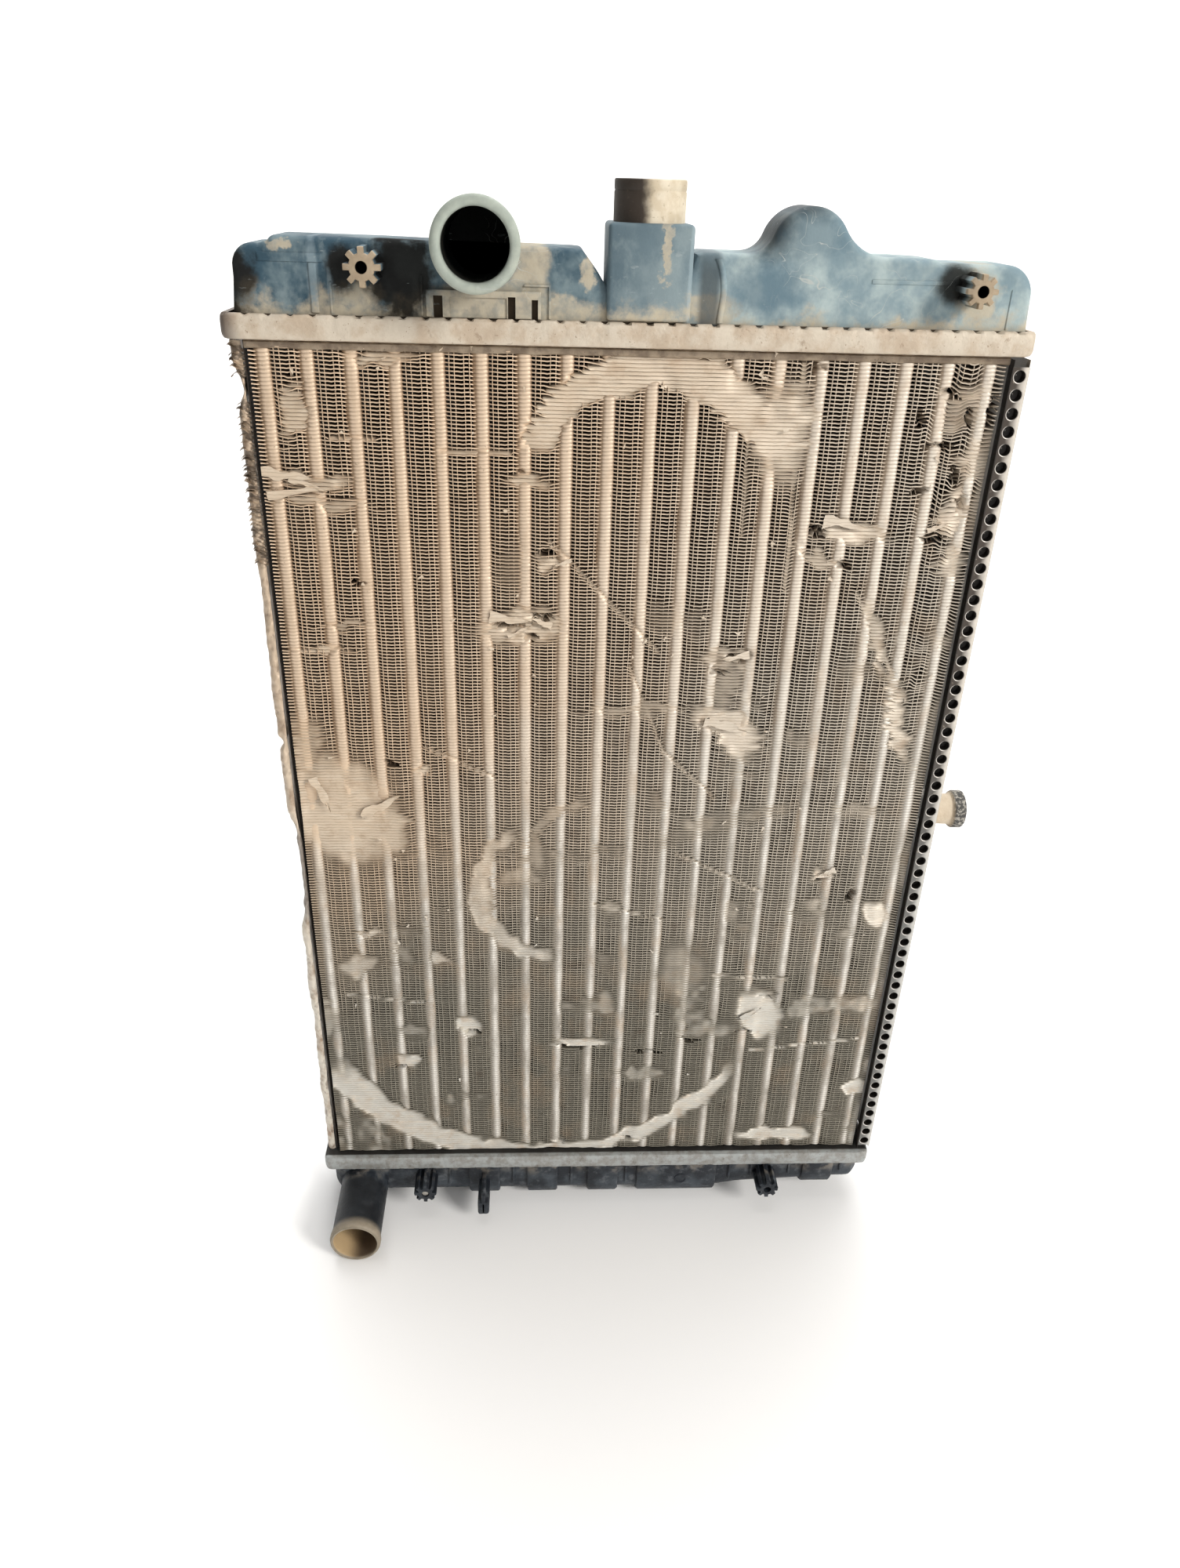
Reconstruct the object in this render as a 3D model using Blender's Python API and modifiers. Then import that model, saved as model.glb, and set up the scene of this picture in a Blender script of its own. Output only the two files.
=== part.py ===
"""A down-flow car radiator: moulded tanks crimped onto aluminium headers, round tubes, plate fins and side plates.

Frame: +Z up, X along the tanks, -Y towards the fan side, where the hose necks point. The origin is on the flat
underside of the bottom tank, at the middle of the core's width and depth.
"""

from math import atan2, cos, degrees, pi, radians, sin, sqrt

import bmesh
import bpy
from mathutils import Matrix, Vector

MM = 0.001
GAP = 0.3 * MM  # clearance between separate pieces

# Core
CORE_BOTTOM = 47 * MM
CORE_HEIGHT = 543 * MM
CORE_TOP = CORE_BOTTOM + CORE_HEIGHT
CORE_MIDDLE = (CORE_BOTTOM + CORE_TOP) / 2
FIN_HALF_WIDTH = 187 * MM
FIN_HALF_DEPTH = 17 * MM
FIN_END_GAP = 1.2 * MM

TUBE_RADIUS = 4 * MM
TUBE_WALL = 0.6 * MM
TUBE_SIDES = 8
TUBE_PITCH = 21 * MM
FRONT_TUBES = 18
REAR_TUBES = FRONT_TUBES - 1
ROW_OFFSET = 11.8 * MM
TUBE_STANDOUT = 4.3 * MM  # past the header's inner face, through the gasket

# Headers: a tray whose skirt is folded over the tank's foot
HEADER_HALF_LENGTH = 196.5 * MM
HEADER_HALF_DEPTH = 23.5 * MM
HEADER_HEIGHT = 12 * MM
HEADER_SHEET = 1.5 * MM
LIP_WIDTH = 3 * MM
HEADER_CORNER = 6 * MM
GASKET_THICKNESS = 2.2 * MM

# Tanks
TANK_WALL = 3 * MM
TANK_HALF_DEPTH = 18.5 * MM
TANK_HALF_LENGTH = 190.5 * MM
FOOT_HEIGHT = 5.6 * MM
TANK_EDGE = 4 * MM

TOP_HEIGHT_LEFT = 45 * MM
TOP_HEIGHT_MIDDLE = 42.5 * MM
TOP_HEIGHT_RIGHT = 40.5 * MM
DOME_X = 81.5 * MM
DOME_RADIUS = 19 * MM
DOME_FILLET = 12 * MM
DOME_RIGHT_FILLET = 24 * MM
DOME_CENTRE_HEIGHT = 44 * MM

TOWER_X = 6 * MM
TOWER_HALF_WIDTH = 20 * MM
TOWER_HALF_DEPTH = 20 * MM
TOWER_Y = -2.3 * MM
TOWER_HEIGHT = 54 * MM
FILLER_RADIUS = 17 * MM
FILLER_BORE = 14 * MM
FILLER_HEIGHT = 18 * MM
FILLER_SOCKET = 9 * MM

BOTTOM_DEPTH = 44 * MM
BOTTOM_ROUNDING = 14 * MM
PAD_DEPTH = 3 * MM

# Hose necks point along -Y
INLET_X = -74 * MM
INLET_HEIGHT = 44.5 * MM  # above the core
INLET_RADIUS = 18 * MM
INLET_BEAD = 20 * MM
INLET_BORE = 14.5 * MM
INLET_END_Y = -52 * MM
OUTLET_X = -169.5 * MM
OUTLET_Z = 17.4 * MM
OUTLET_RADIUS = 16.2 * MM
OUTLET_BEAD = 17.2 * MM
OUTLET_BORE = 14 * MM
OUTLET_END_Y = -71 * MM
NECK_SIDES = 32

# Star bosses that carry the fan shroud
BOSS_RADIUS = 9 * MM
BOSS_ROOT_RADIUS = 6.6 * MM
BOSS_LOBES = 8
BOSS_HOLE = 2.7 * MM
BOSS_HOLE_DEPTH = 12 * MM
BOSS_END_Y = -36 * MM
TOP_BOSSES = ((-126 * MM, 33.5 * MM), (160 * MM, 30 * MM))  # x, height above the core
BOTTOM_BOSSES = ((-124.5 * MM, 22.5 * MM), (121.5 * MM, 22.5 * MM))  # x, depth below the core

# Side plates: channels open towards the fins
PLATE_INNER_X = FIN_HALF_WIDTH + 2 * GAP
PLATE_OUTER_X = 196.3 * MM
PLATE_SHEET = 1.2 * MM
PLATE_HALF_DEPTH = 20 * MM
PLATE_HOLE_RADIUS = 2.6 * MM
PLATE_HOLE_PITCH = 8.9 * MM
PLATE_HOLE_SIDES = 6
PLATE_HOLES = 59

# Mounting pin at the middle of the right side plate
PIN_Z = CORE_MIDDLE + 4 * MM
PIN_BASE_RADIUS = 14 * MM
PIN_BASE_THICKNESS = 1.6 * MM
PIN_RADIUS = 6.5 * MM
PIN_END_X = 211 * MM
BUSH_RADIUS = 9.5 * MM
BUSH_FLANGE_RADIUS = 11.7 * MM
BUSH_FLANGE_X = 211.6 * MM
BUSH_END_X = 218.5 * MM
RIVET_RADIUS = 2 * MM
RIVET_HEAD_RADIUS = 3.4 * MM
RIVET_HEAD_HEIGHT = 1.4 * MM
RIVET_OFFSET = 10.6 * MM

MATERIALS = {
    # name: (colour, roughness, metallic)
    "tank_plastic": ((0.10, 0.14, 0.17, 1), 0.6, 0.0),
    "aluminium": ((0.72, 0.70, 0.66, 1), 0.45, 1.0),
    "fin_aluminium": ((0.62, 0.58, 0.52, 1), 0.5, 1.0),
    "rubber": ((0.04, 0.04, 0.04, 1), 0.85, 0.0),
    "filler_plastic": ((0.62, 0.55, 0.45, 1), 0.7, 0.0),
    "steel": ((0.45, 0.43, 0.40, 1), 0.4, 1.0),
}


def clear_scene():
    for obj in list(bpy.data.objects):
        bpy.data.objects.remove(obj, do_unlink=True)


def make_collection(name):
    collection = bpy.data.collections.new(name)
    bpy.context.scene.collection.children.link(collection)
    return collection


def make_materials():
    made = {}
    for name, (colour, roughness, metallic) in MATERIALS.items():
        material = bpy.data.materials.new(name)
        material.use_nodes = True
        shader = material.node_tree.nodes["Principled BSDF"]
        shader.inputs["Base Color"].default_value = colour
        shader.inputs["Roughness"].default_value = roughness
        shader.inputs["Metallic"].default_value = metallic
        made[name] = material
    return made


clear_scene()
RADIATOR = make_collection("car_radiator")
CUTTERS = make_collection("cutters")
MATERIAL = make_materials()


def place(mesh, name, material=None):
    """Puts a mesh in the scene: as a part if it has a material, otherwise as a hidden helper."""
    obj = bpy.data.objects.new(name, mesh)
    if material:
        RADIATOR.objects.link(obj)
        obj.data.materials.append(MATERIAL[material])
    else:
        CUTTERS.objects.link(obj)
        obj.hide_render = True
        obj.display_type = "WIRE"
    return obj


def mesh_from(bm, name):
    mesh = bpy.data.meshes.new(name)
    bm.to_mesh(mesh)
    bm.free()
    return mesh


def add_box(bm, low, high):
    low, high = Vector(low), Vector(high)
    scale = Matrix.Diagonal((*(high - low), 1))
    bmesh.ops.create_cube(bm, size=1, matrix=Matrix.Translation((low + high) / 2) @ scale)


def box(name, low, high, material=None):
    bm = bmesh.new()
    add_box(bm, low, high)
    return place(mesh_from(bm, name), name, material)


TURN_TO = {
    "X": Matrix.Rotation(pi / 2, 4, "Y"),
    "Y": Matrix.Rotation(pi / 2, 4, "X"),
    "Z": Matrix.Identity(4),
}


def add_cylinder(bm, centre, axis, radius, length, sides, end_radius=None):
    """A cylinder or cone about centre; its flats face the axes, and end_radius is at the -Y, +X or +Z end."""
    half_turn = Matrix.Rotation(pi / sides, 4, "Z")
    bmesh.ops.create_cone(
        bm,
        cap_ends=True,
        segments=sides,
        radius1=radius,
        radius2=radius if end_radius is None else end_radius,
        depth=length,
        matrix=Matrix.Translation(centre) @ TURN_TO[axis] @ half_turn,
    )


def cylinder(name, centre, axis, radius, length, sides=NECK_SIDES, material=None, end_radius=None):
    bm = bmesh.new()
    add_cylinder(bm, centre, axis, radius, length, sides, end_radius)
    return place(mesh_from(bm, name), name, material)


def prism(name, outline, low, high, axis="Y", material=None):
    """A flat outline given an even thickness along axis: (x, z) points along Y, (y, z) along X, (x, y) along Z."""
    curve = bpy.data.curves.new(name + "_outline", "CURVE")
    curve.dimensions = "2D"
    curve.fill_mode = "BOTH"
    curve.extrude = (high - low) / 2
    spline = curve.splines.new("POLY")
    spline.points.add(len(outline) - 1)
    for point, (u, v) in zip(spline.points, outline):
        point.co = (u, v, 0, 1)
    spline.use_cyclic_u = True
    guide = place(curve, name + "_outline")
    bpy.context.view_layer.update()
    graph = bpy.context.evaluated_depsgraph_get()
    mesh = bpy.data.meshes.new_from_object(guide.evaluated_get(graph))
    bpy.data.objects.remove(guide, do_unlink=True)
    middle = (low + high) / 2
    stand = {
        "Y": Matrix.Translation((0, middle, 0)) @ Matrix.Rotation(pi / 2, 4, "X"),
        "X": Matrix.Translation((middle, 0, 0)) @ Matrix(((0, 0, 1, 0), (1, 0, 0, 0), (0, 1, 0, 0), (0, 0, 0, 1))),
        "Z": Matrix.Translation((0, 0, middle)),
    }[axis]
    mesh.transform(stand)
    bm = bmesh.new()
    bm.from_mesh(mesh)
    bmesh.ops.remove_doubles(bm, verts=bm.verts, dist=0.01 * MM)
    bmesh.ops.recalc_face_normals(bm, faces=bm.faces)
    bm.to_mesh(mesh)
    bm.free()
    return place(mesh, name, material)


def combine(obj, other, operation):
    modifier = obj.modifiers.new(operation.lower(), "BOOLEAN")
    modifier.operation = operation
    modifier.object = other
    modifier.solver = "EXACT"
    return obj


def cut(obj, *others):
    for other in others:
        combine(obj, other, "DIFFERENCE")


def join(obj, *others):
    for other in others:
        combine(obj, other, "UNION")


def round_edges(obj, width, segments=2, angle=50):
    modifier = obj.modifiers.new("rounded_edges", "BEVEL")
    modifier.width = width
    modifier.segments = segments
    modifier.limit_method = "ANGLE"
    modifier.angle_limit = radians(angle)
    return obj


def arc(centre, radius, start, end, steps):
    """Points on a circle from start to end, in degrees."""
    turns = [radians(start + (end - start) * i / steps) for i in range(steps + 1)]
    return [(centre[0] + radius * cos(t), centre[1] + radius * sin(t)) for t in turns]


def rounded_rectangle(half_u, half_v, radius, steps=3):
    points = []
    for sign_u, sign_v, start in ((1, 1, 0), (-1, 1, 90), (-1, -1, 180), (1, -1, 270)):
        centre = (sign_u * (half_u - radius), sign_v * (half_v - radius))
        points += arc(centre, radius, start, start + 90, steps)
    return points


def tube_places():
    """(x, y) of every tube, front row first."""
    front = [((i - (FRONT_TUBES - 1) / 2) * TUBE_PITCH, -ROW_OFFSET) for i in range(FRONT_TUBES)]
    rear = [((i - (REAR_TUBES - 1) / 2) * TUBE_PITCH, ROW_OFFSET) for i in range(REAR_TUBES)]
    return front, rear


def tube_holes(name, z_low, z_high):
    bm = bmesh.new()
    front, rear = tube_places()
    for x, y in front + rear:
        centre = (x, y, (z_low + z_high) / 2)
        add_cylinder(bm, centre, "Z", TUBE_RADIUS + 1.2 * GAP, z_high - z_low, TUBE_SIDES)
    return place(mesh_from(bm, name), name)


# Core pieces


def tube(name, x, y):
    """A straight tube, open at both ends."""
    low, high = CORE_BOTTOM - TUBE_STANDOUT, CORE_TOP + TUBE_STANDOUT
    centre = (x, y, (low + high) / 2)
    shell = cylinder(name, centre, "Z", TUBE_RADIUS, high - low, TUBE_SIDES, "aluminium")
    cut(shell, cylinder(name + "_bore", centre, "Z", TUBE_RADIUS - TUBE_WALL, high - low + 4 * MM, TUBE_SIDES))


def fin_pack():
    """The stacked fins as one solid block that the tubes pass through."""
    low, high = CORE_BOTTOM + FIN_END_GAP, CORE_TOP - FIN_END_GAP
    pack = box(
        "fin_pack", (-FIN_HALF_WIDTH, -FIN_HALF_DEPTH, low), (FIN_HALF_WIDTH, FIN_HALF_DEPTH, high), "fin_aluminium"
    )
    cut(pack, tube_holes("fin_pack_holes", low - MM, high + MM))


def span(base, direction, start, end):
    """Low and high Z of a layer measured outwards from a header's inner face."""
    return sorted((base + direction * start, base + direction * end))


def header(name, base, direction):
    """A tray with tube holes in its base, its skirt folded inwards over the tank's foot."""
    outer = rounded_rectangle(HEADER_HALF_LENGTH, HEADER_HALF_DEPTH, HEADER_CORNER)
    tray = prism(name, outer, *span(base, direction, 0, HEADER_HEIGHT), axis="Z", material="aluminium")
    inner = rounded_rectangle(
        HEADER_HALF_LENGTH - HEADER_SHEET, HEADER_HALF_DEPTH - HEADER_SHEET, HEADER_CORNER - HEADER_SHEET
    )
    room = span(base, direction, HEADER_SHEET, HEADER_HEIGHT - HEADER_SHEET)
    mouth = rounded_rectangle(
        HEADER_HALF_LENGTH - HEADER_SHEET - LIP_WIDTH, HEADER_HALF_DEPTH - HEADER_SHEET - LIP_WIDTH, 2 * MM
    )
    opening = span(base, direction, 2 * HEADER_SHEET, HEADER_HEIGHT + 2 * MM)
    cut(
        tray,
        prism(name + "_room", inner, *room, axis="Z"),
        prism(name + "_mouth", mouth, *opening, axis="Z"),
        tube_holes(name + "_holes", *span(base, direction, -MM, HEADER_SHEET + MM)),
    )


def gasket(name, base, direction):
    """A rubber sheet that seals each tube and the tank's foot."""
    sheet = rounded_rectangle(
        HEADER_HALF_LENGTH - HEADER_SHEET - GAP, HEADER_HALF_DEPTH - HEADER_SHEET - GAP, HEADER_CORNER - HEADER_SHEET
    )
    start = HEADER_SHEET + GAP
    layer = span(base, direction, start, start + GASKET_THICKNESS)
    seal = prism(name, sheet, *layer, axis="Z", material="rubber")
    cut(seal, tube_holes(name + "_holes", layer[0] - MM, layer[1] + MM))


def side_plate(name, side, perforated):
    """A channel closed on its outer side, its flanges lying over the fins' ends; the right one is perforated."""
    low, high = CORE_BOTTOM + FIN_END_GAP, CORE_TOP - FIN_END_GAP
    edges = sorted((side * PLATE_INNER_X, side * PLATE_OUTER_X))
    plate = box(name, (edges[0], -PLATE_HALF_DEPTH, low), (edges[1], PLATE_HALF_DEPTH, high), "aluminium")
    web = PLATE_OUTER_X - PLATE_SHEET
    hollow = sorted((side * (PLATE_INNER_X - 2 * MM), side * web))
    depth = PLATE_HALF_DEPTH - PLATE_SHEET
    cut(plate, box(name + "_hollow", (hollow[0], -depth, low - MM), (hollow[1], depth, high + MM)))
    if perforated:
        bm = bmesh.new()
        for i in range(PLATE_HOLES):
            z = CORE_MIDDLE + (i - (PLATE_HOLES - 1) / 2) * PLATE_HOLE_PITCH
            centre = (side * (PLATE_INNER_X + web) / 2, -PLATE_HALF_DEPTH, z)
            add_cylinder(bm, centre, "Y", PLATE_HOLE_RADIUS, 4 * PLATE_SHEET, PLATE_HOLE_SIDES)
        cut(plate, place(mesh_from(bm, name + "_holes"), name + "_holes"))
        cut(plate, rivet_holes(name + "_rivet_holes"))
    return plate


# Mounting pin


def pin_rivet(name, side):
    """A rivet through the plate and the pin's base, above or below the pin."""
    inside = PLATE_OUTER_X - PLATE_SHEET - GAP
    outside = PLATE_OUTER_X + PIN_BASE_THICKNESS + 2 * GAP
    z = PIN_Z + side * RIVET_OFFSET
    rivet = cylinder(name, ((inside + outside) / 2, 0, z), "X", RIVET_RADIUS, outside - inside + MM, 8, "aluminium")
    for end, x in enumerate((inside - RIVET_HEAD_HEIGHT / 2, outside + RIVET_HEAD_HEIGHT / 2)):
        join(rivet, cylinder(f"{name}_head_{end}", (x, 0, z), "X", RIVET_HEAD_RADIUS, RIVET_HEAD_HEIGHT, 8))


def rivet_holes(name):
    """Clearance for both rivets' shanks."""
    bm = bmesh.new()
    for side in (-1, 1):
        centre = (PLATE_OUTER_X, 0, PIN_Z + side * RIVET_OFFSET)
        add_cylinder(bm, centre, "X", RIVET_RADIUS + GAP, 8 * MM, 8)
    return place(mesh_from(bm, name), name)


def mounting_pin():
    base_x = PLATE_OUTER_X + GAP
    pin = cylinder(
        "mount_pin", (base_x + PIN_BASE_THICKNESS / 2, 0, PIN_Z), "X", PIN_BASE_RADIUS, PIN_BASE_THICKNESS, 20, "steel"
    )
    length = PIN_END_X - base_x
    join(pin, cylinder("pin_stem", (base_x + length / 2, 0, PIN_Z), "X", PIN_RADIUS, length, 16))
    cut(pin, rivet_holes("pin_rivet_holes"))


def pin_bush():
    """A rubber sleeve over the pin, narrow enough to clear the rivets, with a thick closed flange at its end."""
    start = PLATE_OUTER_X + PIN_BASE_THICKNESS + 4 * GAP + RIVET_HEAD_HEIGHT
    length = BUSH_FLANGE_X - start
    bush = cylinder(
        "pin_bush", (start + length / 2, 0, PIN_Z), "X", BUSH_RADIUS, length + MM, 20, "rubber", BUSH_RADIUS * 0.9
    )
    flange_length = BUSH_END_X - BUSH_FLANGE_X
    flange = cylinder(
        "bush_flange", (BUSH_FLANGE_X + flange_length / 2, 0, PIN_Z), "X", BUSH_FLANGE_RADIUS, flange_length, 20
    )
    join(bush, flange)
    bore_end = PIN_END_X + GAP
    bore_start = start - 2 * MM
    cut(
        bush,
        cylinder(
            "bush_bore", ((bore_start + bore_end) / 2, 0, PIN_Z), "X", PIN_RADIUS + GAP, bore_end - bore_start, 16
        ),
    )


# Pieces shared by both tanks


def foot(name, base, direction, material=None):
    """The tank's flange, which the header's lip holds against the gasket."""
    outline = rounded_rectangle(
        HEADER_HALF_LENGTH - HEADER_SHEET - GAP, HEADER_HALF_DEPTH - HEADER_SHEET - GAP, HEADER_CORNER - HEADER_SHEET
    )
    return prism(name, outline, *foot_span(base, direction), axis="Z", material=material)


def foot_span(base, direction):
    top = HEADER_HEIGHT - HEADER_SHEET - GAP
    return span(base, direction, top - FOOT_HEIGHT, top)


def star_boss(name, x, z):
    """A ribbed screw boss standing out towards -Y, from inside the tank's wall."""
    outline = []
    step = 360 / BOSS_LOBES
    for i in range(BOSS_LOBES):
        lobe = i * step
        outline += arc((x, z), BOSS_RADIUS, lobe - 9, lobe + 9, 2)
        outline += arc((x, z), BOSS_ROOT_RADIUS, lobe + step / 2 - 8, lobe + step / 2 + 8, 1)
    return prism(name, outline, BOSS_END_Y, -TANK_HALF_DEPTH + 1.5 * MM)


def boss_hole(name, x, z):
    centre = (x, BOSS_END_Y + BOSS_HOLE_DEPTH / 2 - MM, z)
    return cylinder(name, centre, "Y", BOSS_HOLE, BOSS_HOLE_DEPTH + 2 * MM, 10)


def turned(name, x, z, profile, sides=NECK_SIDES):
    """A closed solid of revolution about a line along Y, from (radius, y) stations."""
    bm = bmesh.new()
    rings = []
    for radius, y in profile:
        turns = [2 * pi * (i + 0.5) / sides for i in range(sides)]
        rings.append([bm.verts.new((x + radius * cos(t), y, z + radius * sin(t))) for t in turns])
    for ring, following in zip(rings, rings[1:]):
        for i in range(sides):
            j = (i + 1) % sides
            bm.faces.new((ring[i], ring[j], following[j], following[i]))
    bm.faces.new(rings[0])
    bm.faces.new(rings[-1])
    bmesh.ops.recalc_face_normals(bm, faces=bm.faces)
    return place(mesh_from(bm, name), name)


def inlet_neck(z):
    """A short neck with a thick rolled rim at its mouth."""
    y = INLET_END_Y
    profile = [(INLET_BEAD - 2 * MM, y), (INLET_BEAD - 0.5 * MM, y + 0.8 * MM), (INLET_BEAD, y + 2.5 * MM)]
    profile += [(INLET_BEAD - 0.5 * MM, y + 5 * MM), (INLET_RADIUS, y + 6.5 * MM), (INLET_RADIUS, 10 * MM)]
    return turned("inlet_neck", INLET_X, z, profile)


def outlet_neck():
    """A long neck with a low bead behind its mouth, flaring to a collar where it leaves the tank."""
    y = OUTLET_END_Y
    profile = [(OUTLET_RADIUS - 0.6 * MM, y), (OUTLET_RADIUS, y + 1.2 * MM), (OUTLET_BEAD, y + 3.5 * MM)]
    profile += [(OUTLET_BEAD, y + 5.5 * MM), (OUTLET_RADIUS, y + 8 * MM), (OUTLET_RADIUS, y + 30 * MM)]
    profile += [(OUTLET_BEAD, y + 42 * MM), (OUTLET_BEAD, -TANK_HALF_DEPTH + 12 * MM)]
    return turned("outlet_neck", OUTLET_X, OUTLET_Z, profile)


def bore(name, x, z, end_y, radius, inner_y):
    length = inner_y - end_y + 2 * MM
    return cylinder(name, (x, end_y - 2 * MM + length / 2, z), "Y", radius, length)


# Top tank


def dome_foot(radius, fillet, rise):
    """How far the fillet's centre stands from the dome's, and the angle where they meet."""
    reach = sqrt((radius + fillet) ** 2 - rise**2)
    return reach, degrees(atan2(rise, reach))


def top_outline(inset, floor):
    """The top tank seen from the front, from its right foot round to its left one, drawn in by inset."""
    end = TANK_HALF_LENGTH - inset
    left_top = CORE_TOP + TOP_HEIGHT_LEFT - inset
    middle_top = CORE_TOP + TOP_HEIGHT_MIDDLE - inset
    right_top = CORE_TOP + TOP_HEIGHT_RIGHT - inset
    radius, fillet, right_fillet = DOME_RADIUS - inset, DOME_FILLET + inset, DOME_RIGHT_FILLET + inset
    dome = (DOME_X, CORE_TOP + DOME_CENTRE_HEIGHT)
    reach, lean = dome_foot(radius, fillet, middle_top + fillet - dome[1])
    right_reach, right_lean = dome_foot(radius, right_fillet, middle_top + right_fillet - dome[1])
    points = [(-end, floor), (-end + 2 * MM, left_top - 16 * MM)]
    points += arc((-end + 11 * MM, left_top - 14 * MM), 9 * MM, 170, 100, 3)
    points += [(-169 * MM, left_top), (-96 * MM, left_top - MM)]
    points += [(-25 * MM - inset / 2, middle_top), (-15.5 * MM - inset, middle_top - 10 * MM)]
    points += [(10 * MM, middle_top - 10 * MM), (30 * MM + inset, middle_top)]
    points += arc((DOME_X - reach, middle_top + fillet), fillet, -90, -lean, 3)
    points += arc(dome, radius, 180 - lean, right_lean, 7)[1:-1]
    points += arc((DOME_X + right_reach, middle_top + right_fillet), right_fillet, 180 + right_lean, 270, 3)
    points += [(143 * MM, right_top + MM), (146 * MM, right_top)]
    points += arc((end - 17 * MM, right_top - 15 * MM), 15 * MM, 88, 8, 5)
    points += [(end, floor)]
    return points[::-1]


def loft(name, stations, material=None):
    """A closed solid through outlines in (x, z), each at its own y, that have the same number of points."""
    bm = bmesh.new()
    rings = [[bm.verts.new((u, y, v)) for u, v in outline] for outline, y in stations]
    count = len(rings[0])
    for ring, following in zip(rings, rings[1:]):
        for i in range(count):
            j = (i + 1) % count
            bm.faces.new((ring[i], ring[j], following[j], following[i]))
    caps = [bm.faces.new(rings[0]), bm.faces.new(rings[-1])]
    bm.normal_update()
    bmesh.ops.triangulate(bm, faces=caps)
    bmesh.ops.recalc_face_normals(bm, faces=bm.faces)
    return place(mesh_from(bm, name), name, material)


def top_body():
    """The top tank's body with its front and back edges rounded."""
    floor = foot_span(CORE_TOP, 1)[0] + MM
    steps = ((TANK_EDGE, 0), (0.3 * TANK_EDGE, 0.3 * TANK_EDGE), (0, TANK_EDGE))
    front = [(top_outline(inset, floor), y - TANK_HALF_DEPTH) for inset, y in steps]
    back = [(top_outline(inset, floor), TANK_HALF_DEPTH - y) for inset, y in reversed(steps)]
    return loft("top_tank", front + back, "tank_plastic")


def top_tank():
    tank = top_body()
    foot_low = foot_span(CORE_TOP, 1)[0]
    tower_top = CORE_TOP + TOWER_HEIGHT
    tower = box(
        "filler_tower",
        (TOWER_X - TOWER_HALF_WIDTH, TOWER_Y - TOWER_HALF_DEPTH, CORE_TOP + HEADER_HEIGHT + 2 * GAP),
        (TOWER_X + TOWER_HALF_WIDTH, TOWER_Y + TOWER_HALF_DEPTH, tower_top),
    )
    round_edges(tower, 2 * MM)
    inlet_z = CORE_TOP + INLET_HEIGHT
    join(tank, foot("top_foot", CORE_TOP, 1), tower, inlet_neck(inlet_z), inlet_panel())
    for i, (x, height) in enumerate(TOP_BOSSES):
        join(tank, star_boss(f"top_boss_{i}", x, CORE_TOP + height))
    inner = TANK_HALF_DEPTH - TANK_WALL
    cut(
        tank,
        prism("top_cavity", top_outline(TANK_WALL, foot_low - MM), -inner, inner),
        bore("inlet_bore", INLET_X, inlet_z, INLET_END_Y, INLET_BORE, 10 * MM),
        cylinder(
            "filler_bore",
            (TOWER_X, TOWER_Y, (foot_low + tower_top) / 2 + 8 * MM),
            "Z",
            FILLER_BORE,
            tower_top - foot_low - 10 * MM,
        ),
        cylinder(
            "filler_socket",
            (TOWER_X, TOWER_Y, tower_top - FILLER_SOCKET / 2 + MM),
            "Z",
            FILLER_RADIUS + GAP,
            FILLER_SOCKET + 2 * MM,
        ),
    )
    for i, (x, height) in enumerate(TOP_BOSSES):
        cut(tank, boss_hole(f"top_boss_hole_{i}", x, CORE_TOP + height))


def inlet_panel():
    """A raised panel of the wall under the inlet, with open pockets between its ribs."""
    low, high = CORE_TOP + HEADER_HEIGHT + 2 * GAP, CORE_TOP + 24 * MM
    front = -TANK_HALF_DEPTH - 3 * MM
    bm = bmesh.new()
    for left, right in ((-99, -96), (-90, -86), (-84, -60), (-54, -50), (-48, -45)):
        add_box(bm, (left * MM, front, low), (right * MM, -TANK_HALF_DEPTH + MM, high - 4 * MM))
    ribs = place(mesh_from(bm, "inlet_ribs"), "inlet_ribs")
    cap = box("inlet_rib_cap", (-99 * MM, front, high - 6 * MM), (-45 * MM, -TANK_HALF_DEPTH + MM, high))
    join(ribs, cap)
    return ribs


def filler_neck():
    """The sleeve that stands in the tower's socket."""
    low = CORE_TOP + TOWER_HEIGHT - FILLER_SOCKET + GAP
    high = CORE_TOP + TOWER_HEIGHT + FILLER_HEIGHT
    sleeve = cylinder(
        "filler_neck", (TOWER_X, TOWER_Y, (low + high) / 2), "Z", FILLER_RADIUS, high - low, material="filler_plastic"
    )
    centre = (TOWER_X, TOWER_Y, (low + high) / 2)
    cut(sleeve, cylinder("filler_neck_bore", centre, "Z", FILLER_BORE, high - low + 4 * MM))


# Bottom tank


def bottom_section(inset, ceiling):
    """The bottom tank's U section in (y, z): flat sides, a rounded underside and a flat strip at its lowest point."""
    half, low = TANK_HALF_DEPTH - inset, CORE_BOTTOM - BOTTOM_DEPTH + inset
    radius = BOTTOM_ROUNDING - inset
    points = [(half, ceiling)]
    points += arc((half - radius, low + radius), radius, 0, -90, 4)
    points += arc((-half + radius, low + radius), radius, -90, -180, 4)
    points += [(-half, ceiling)]
    return points[::-1]


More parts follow.
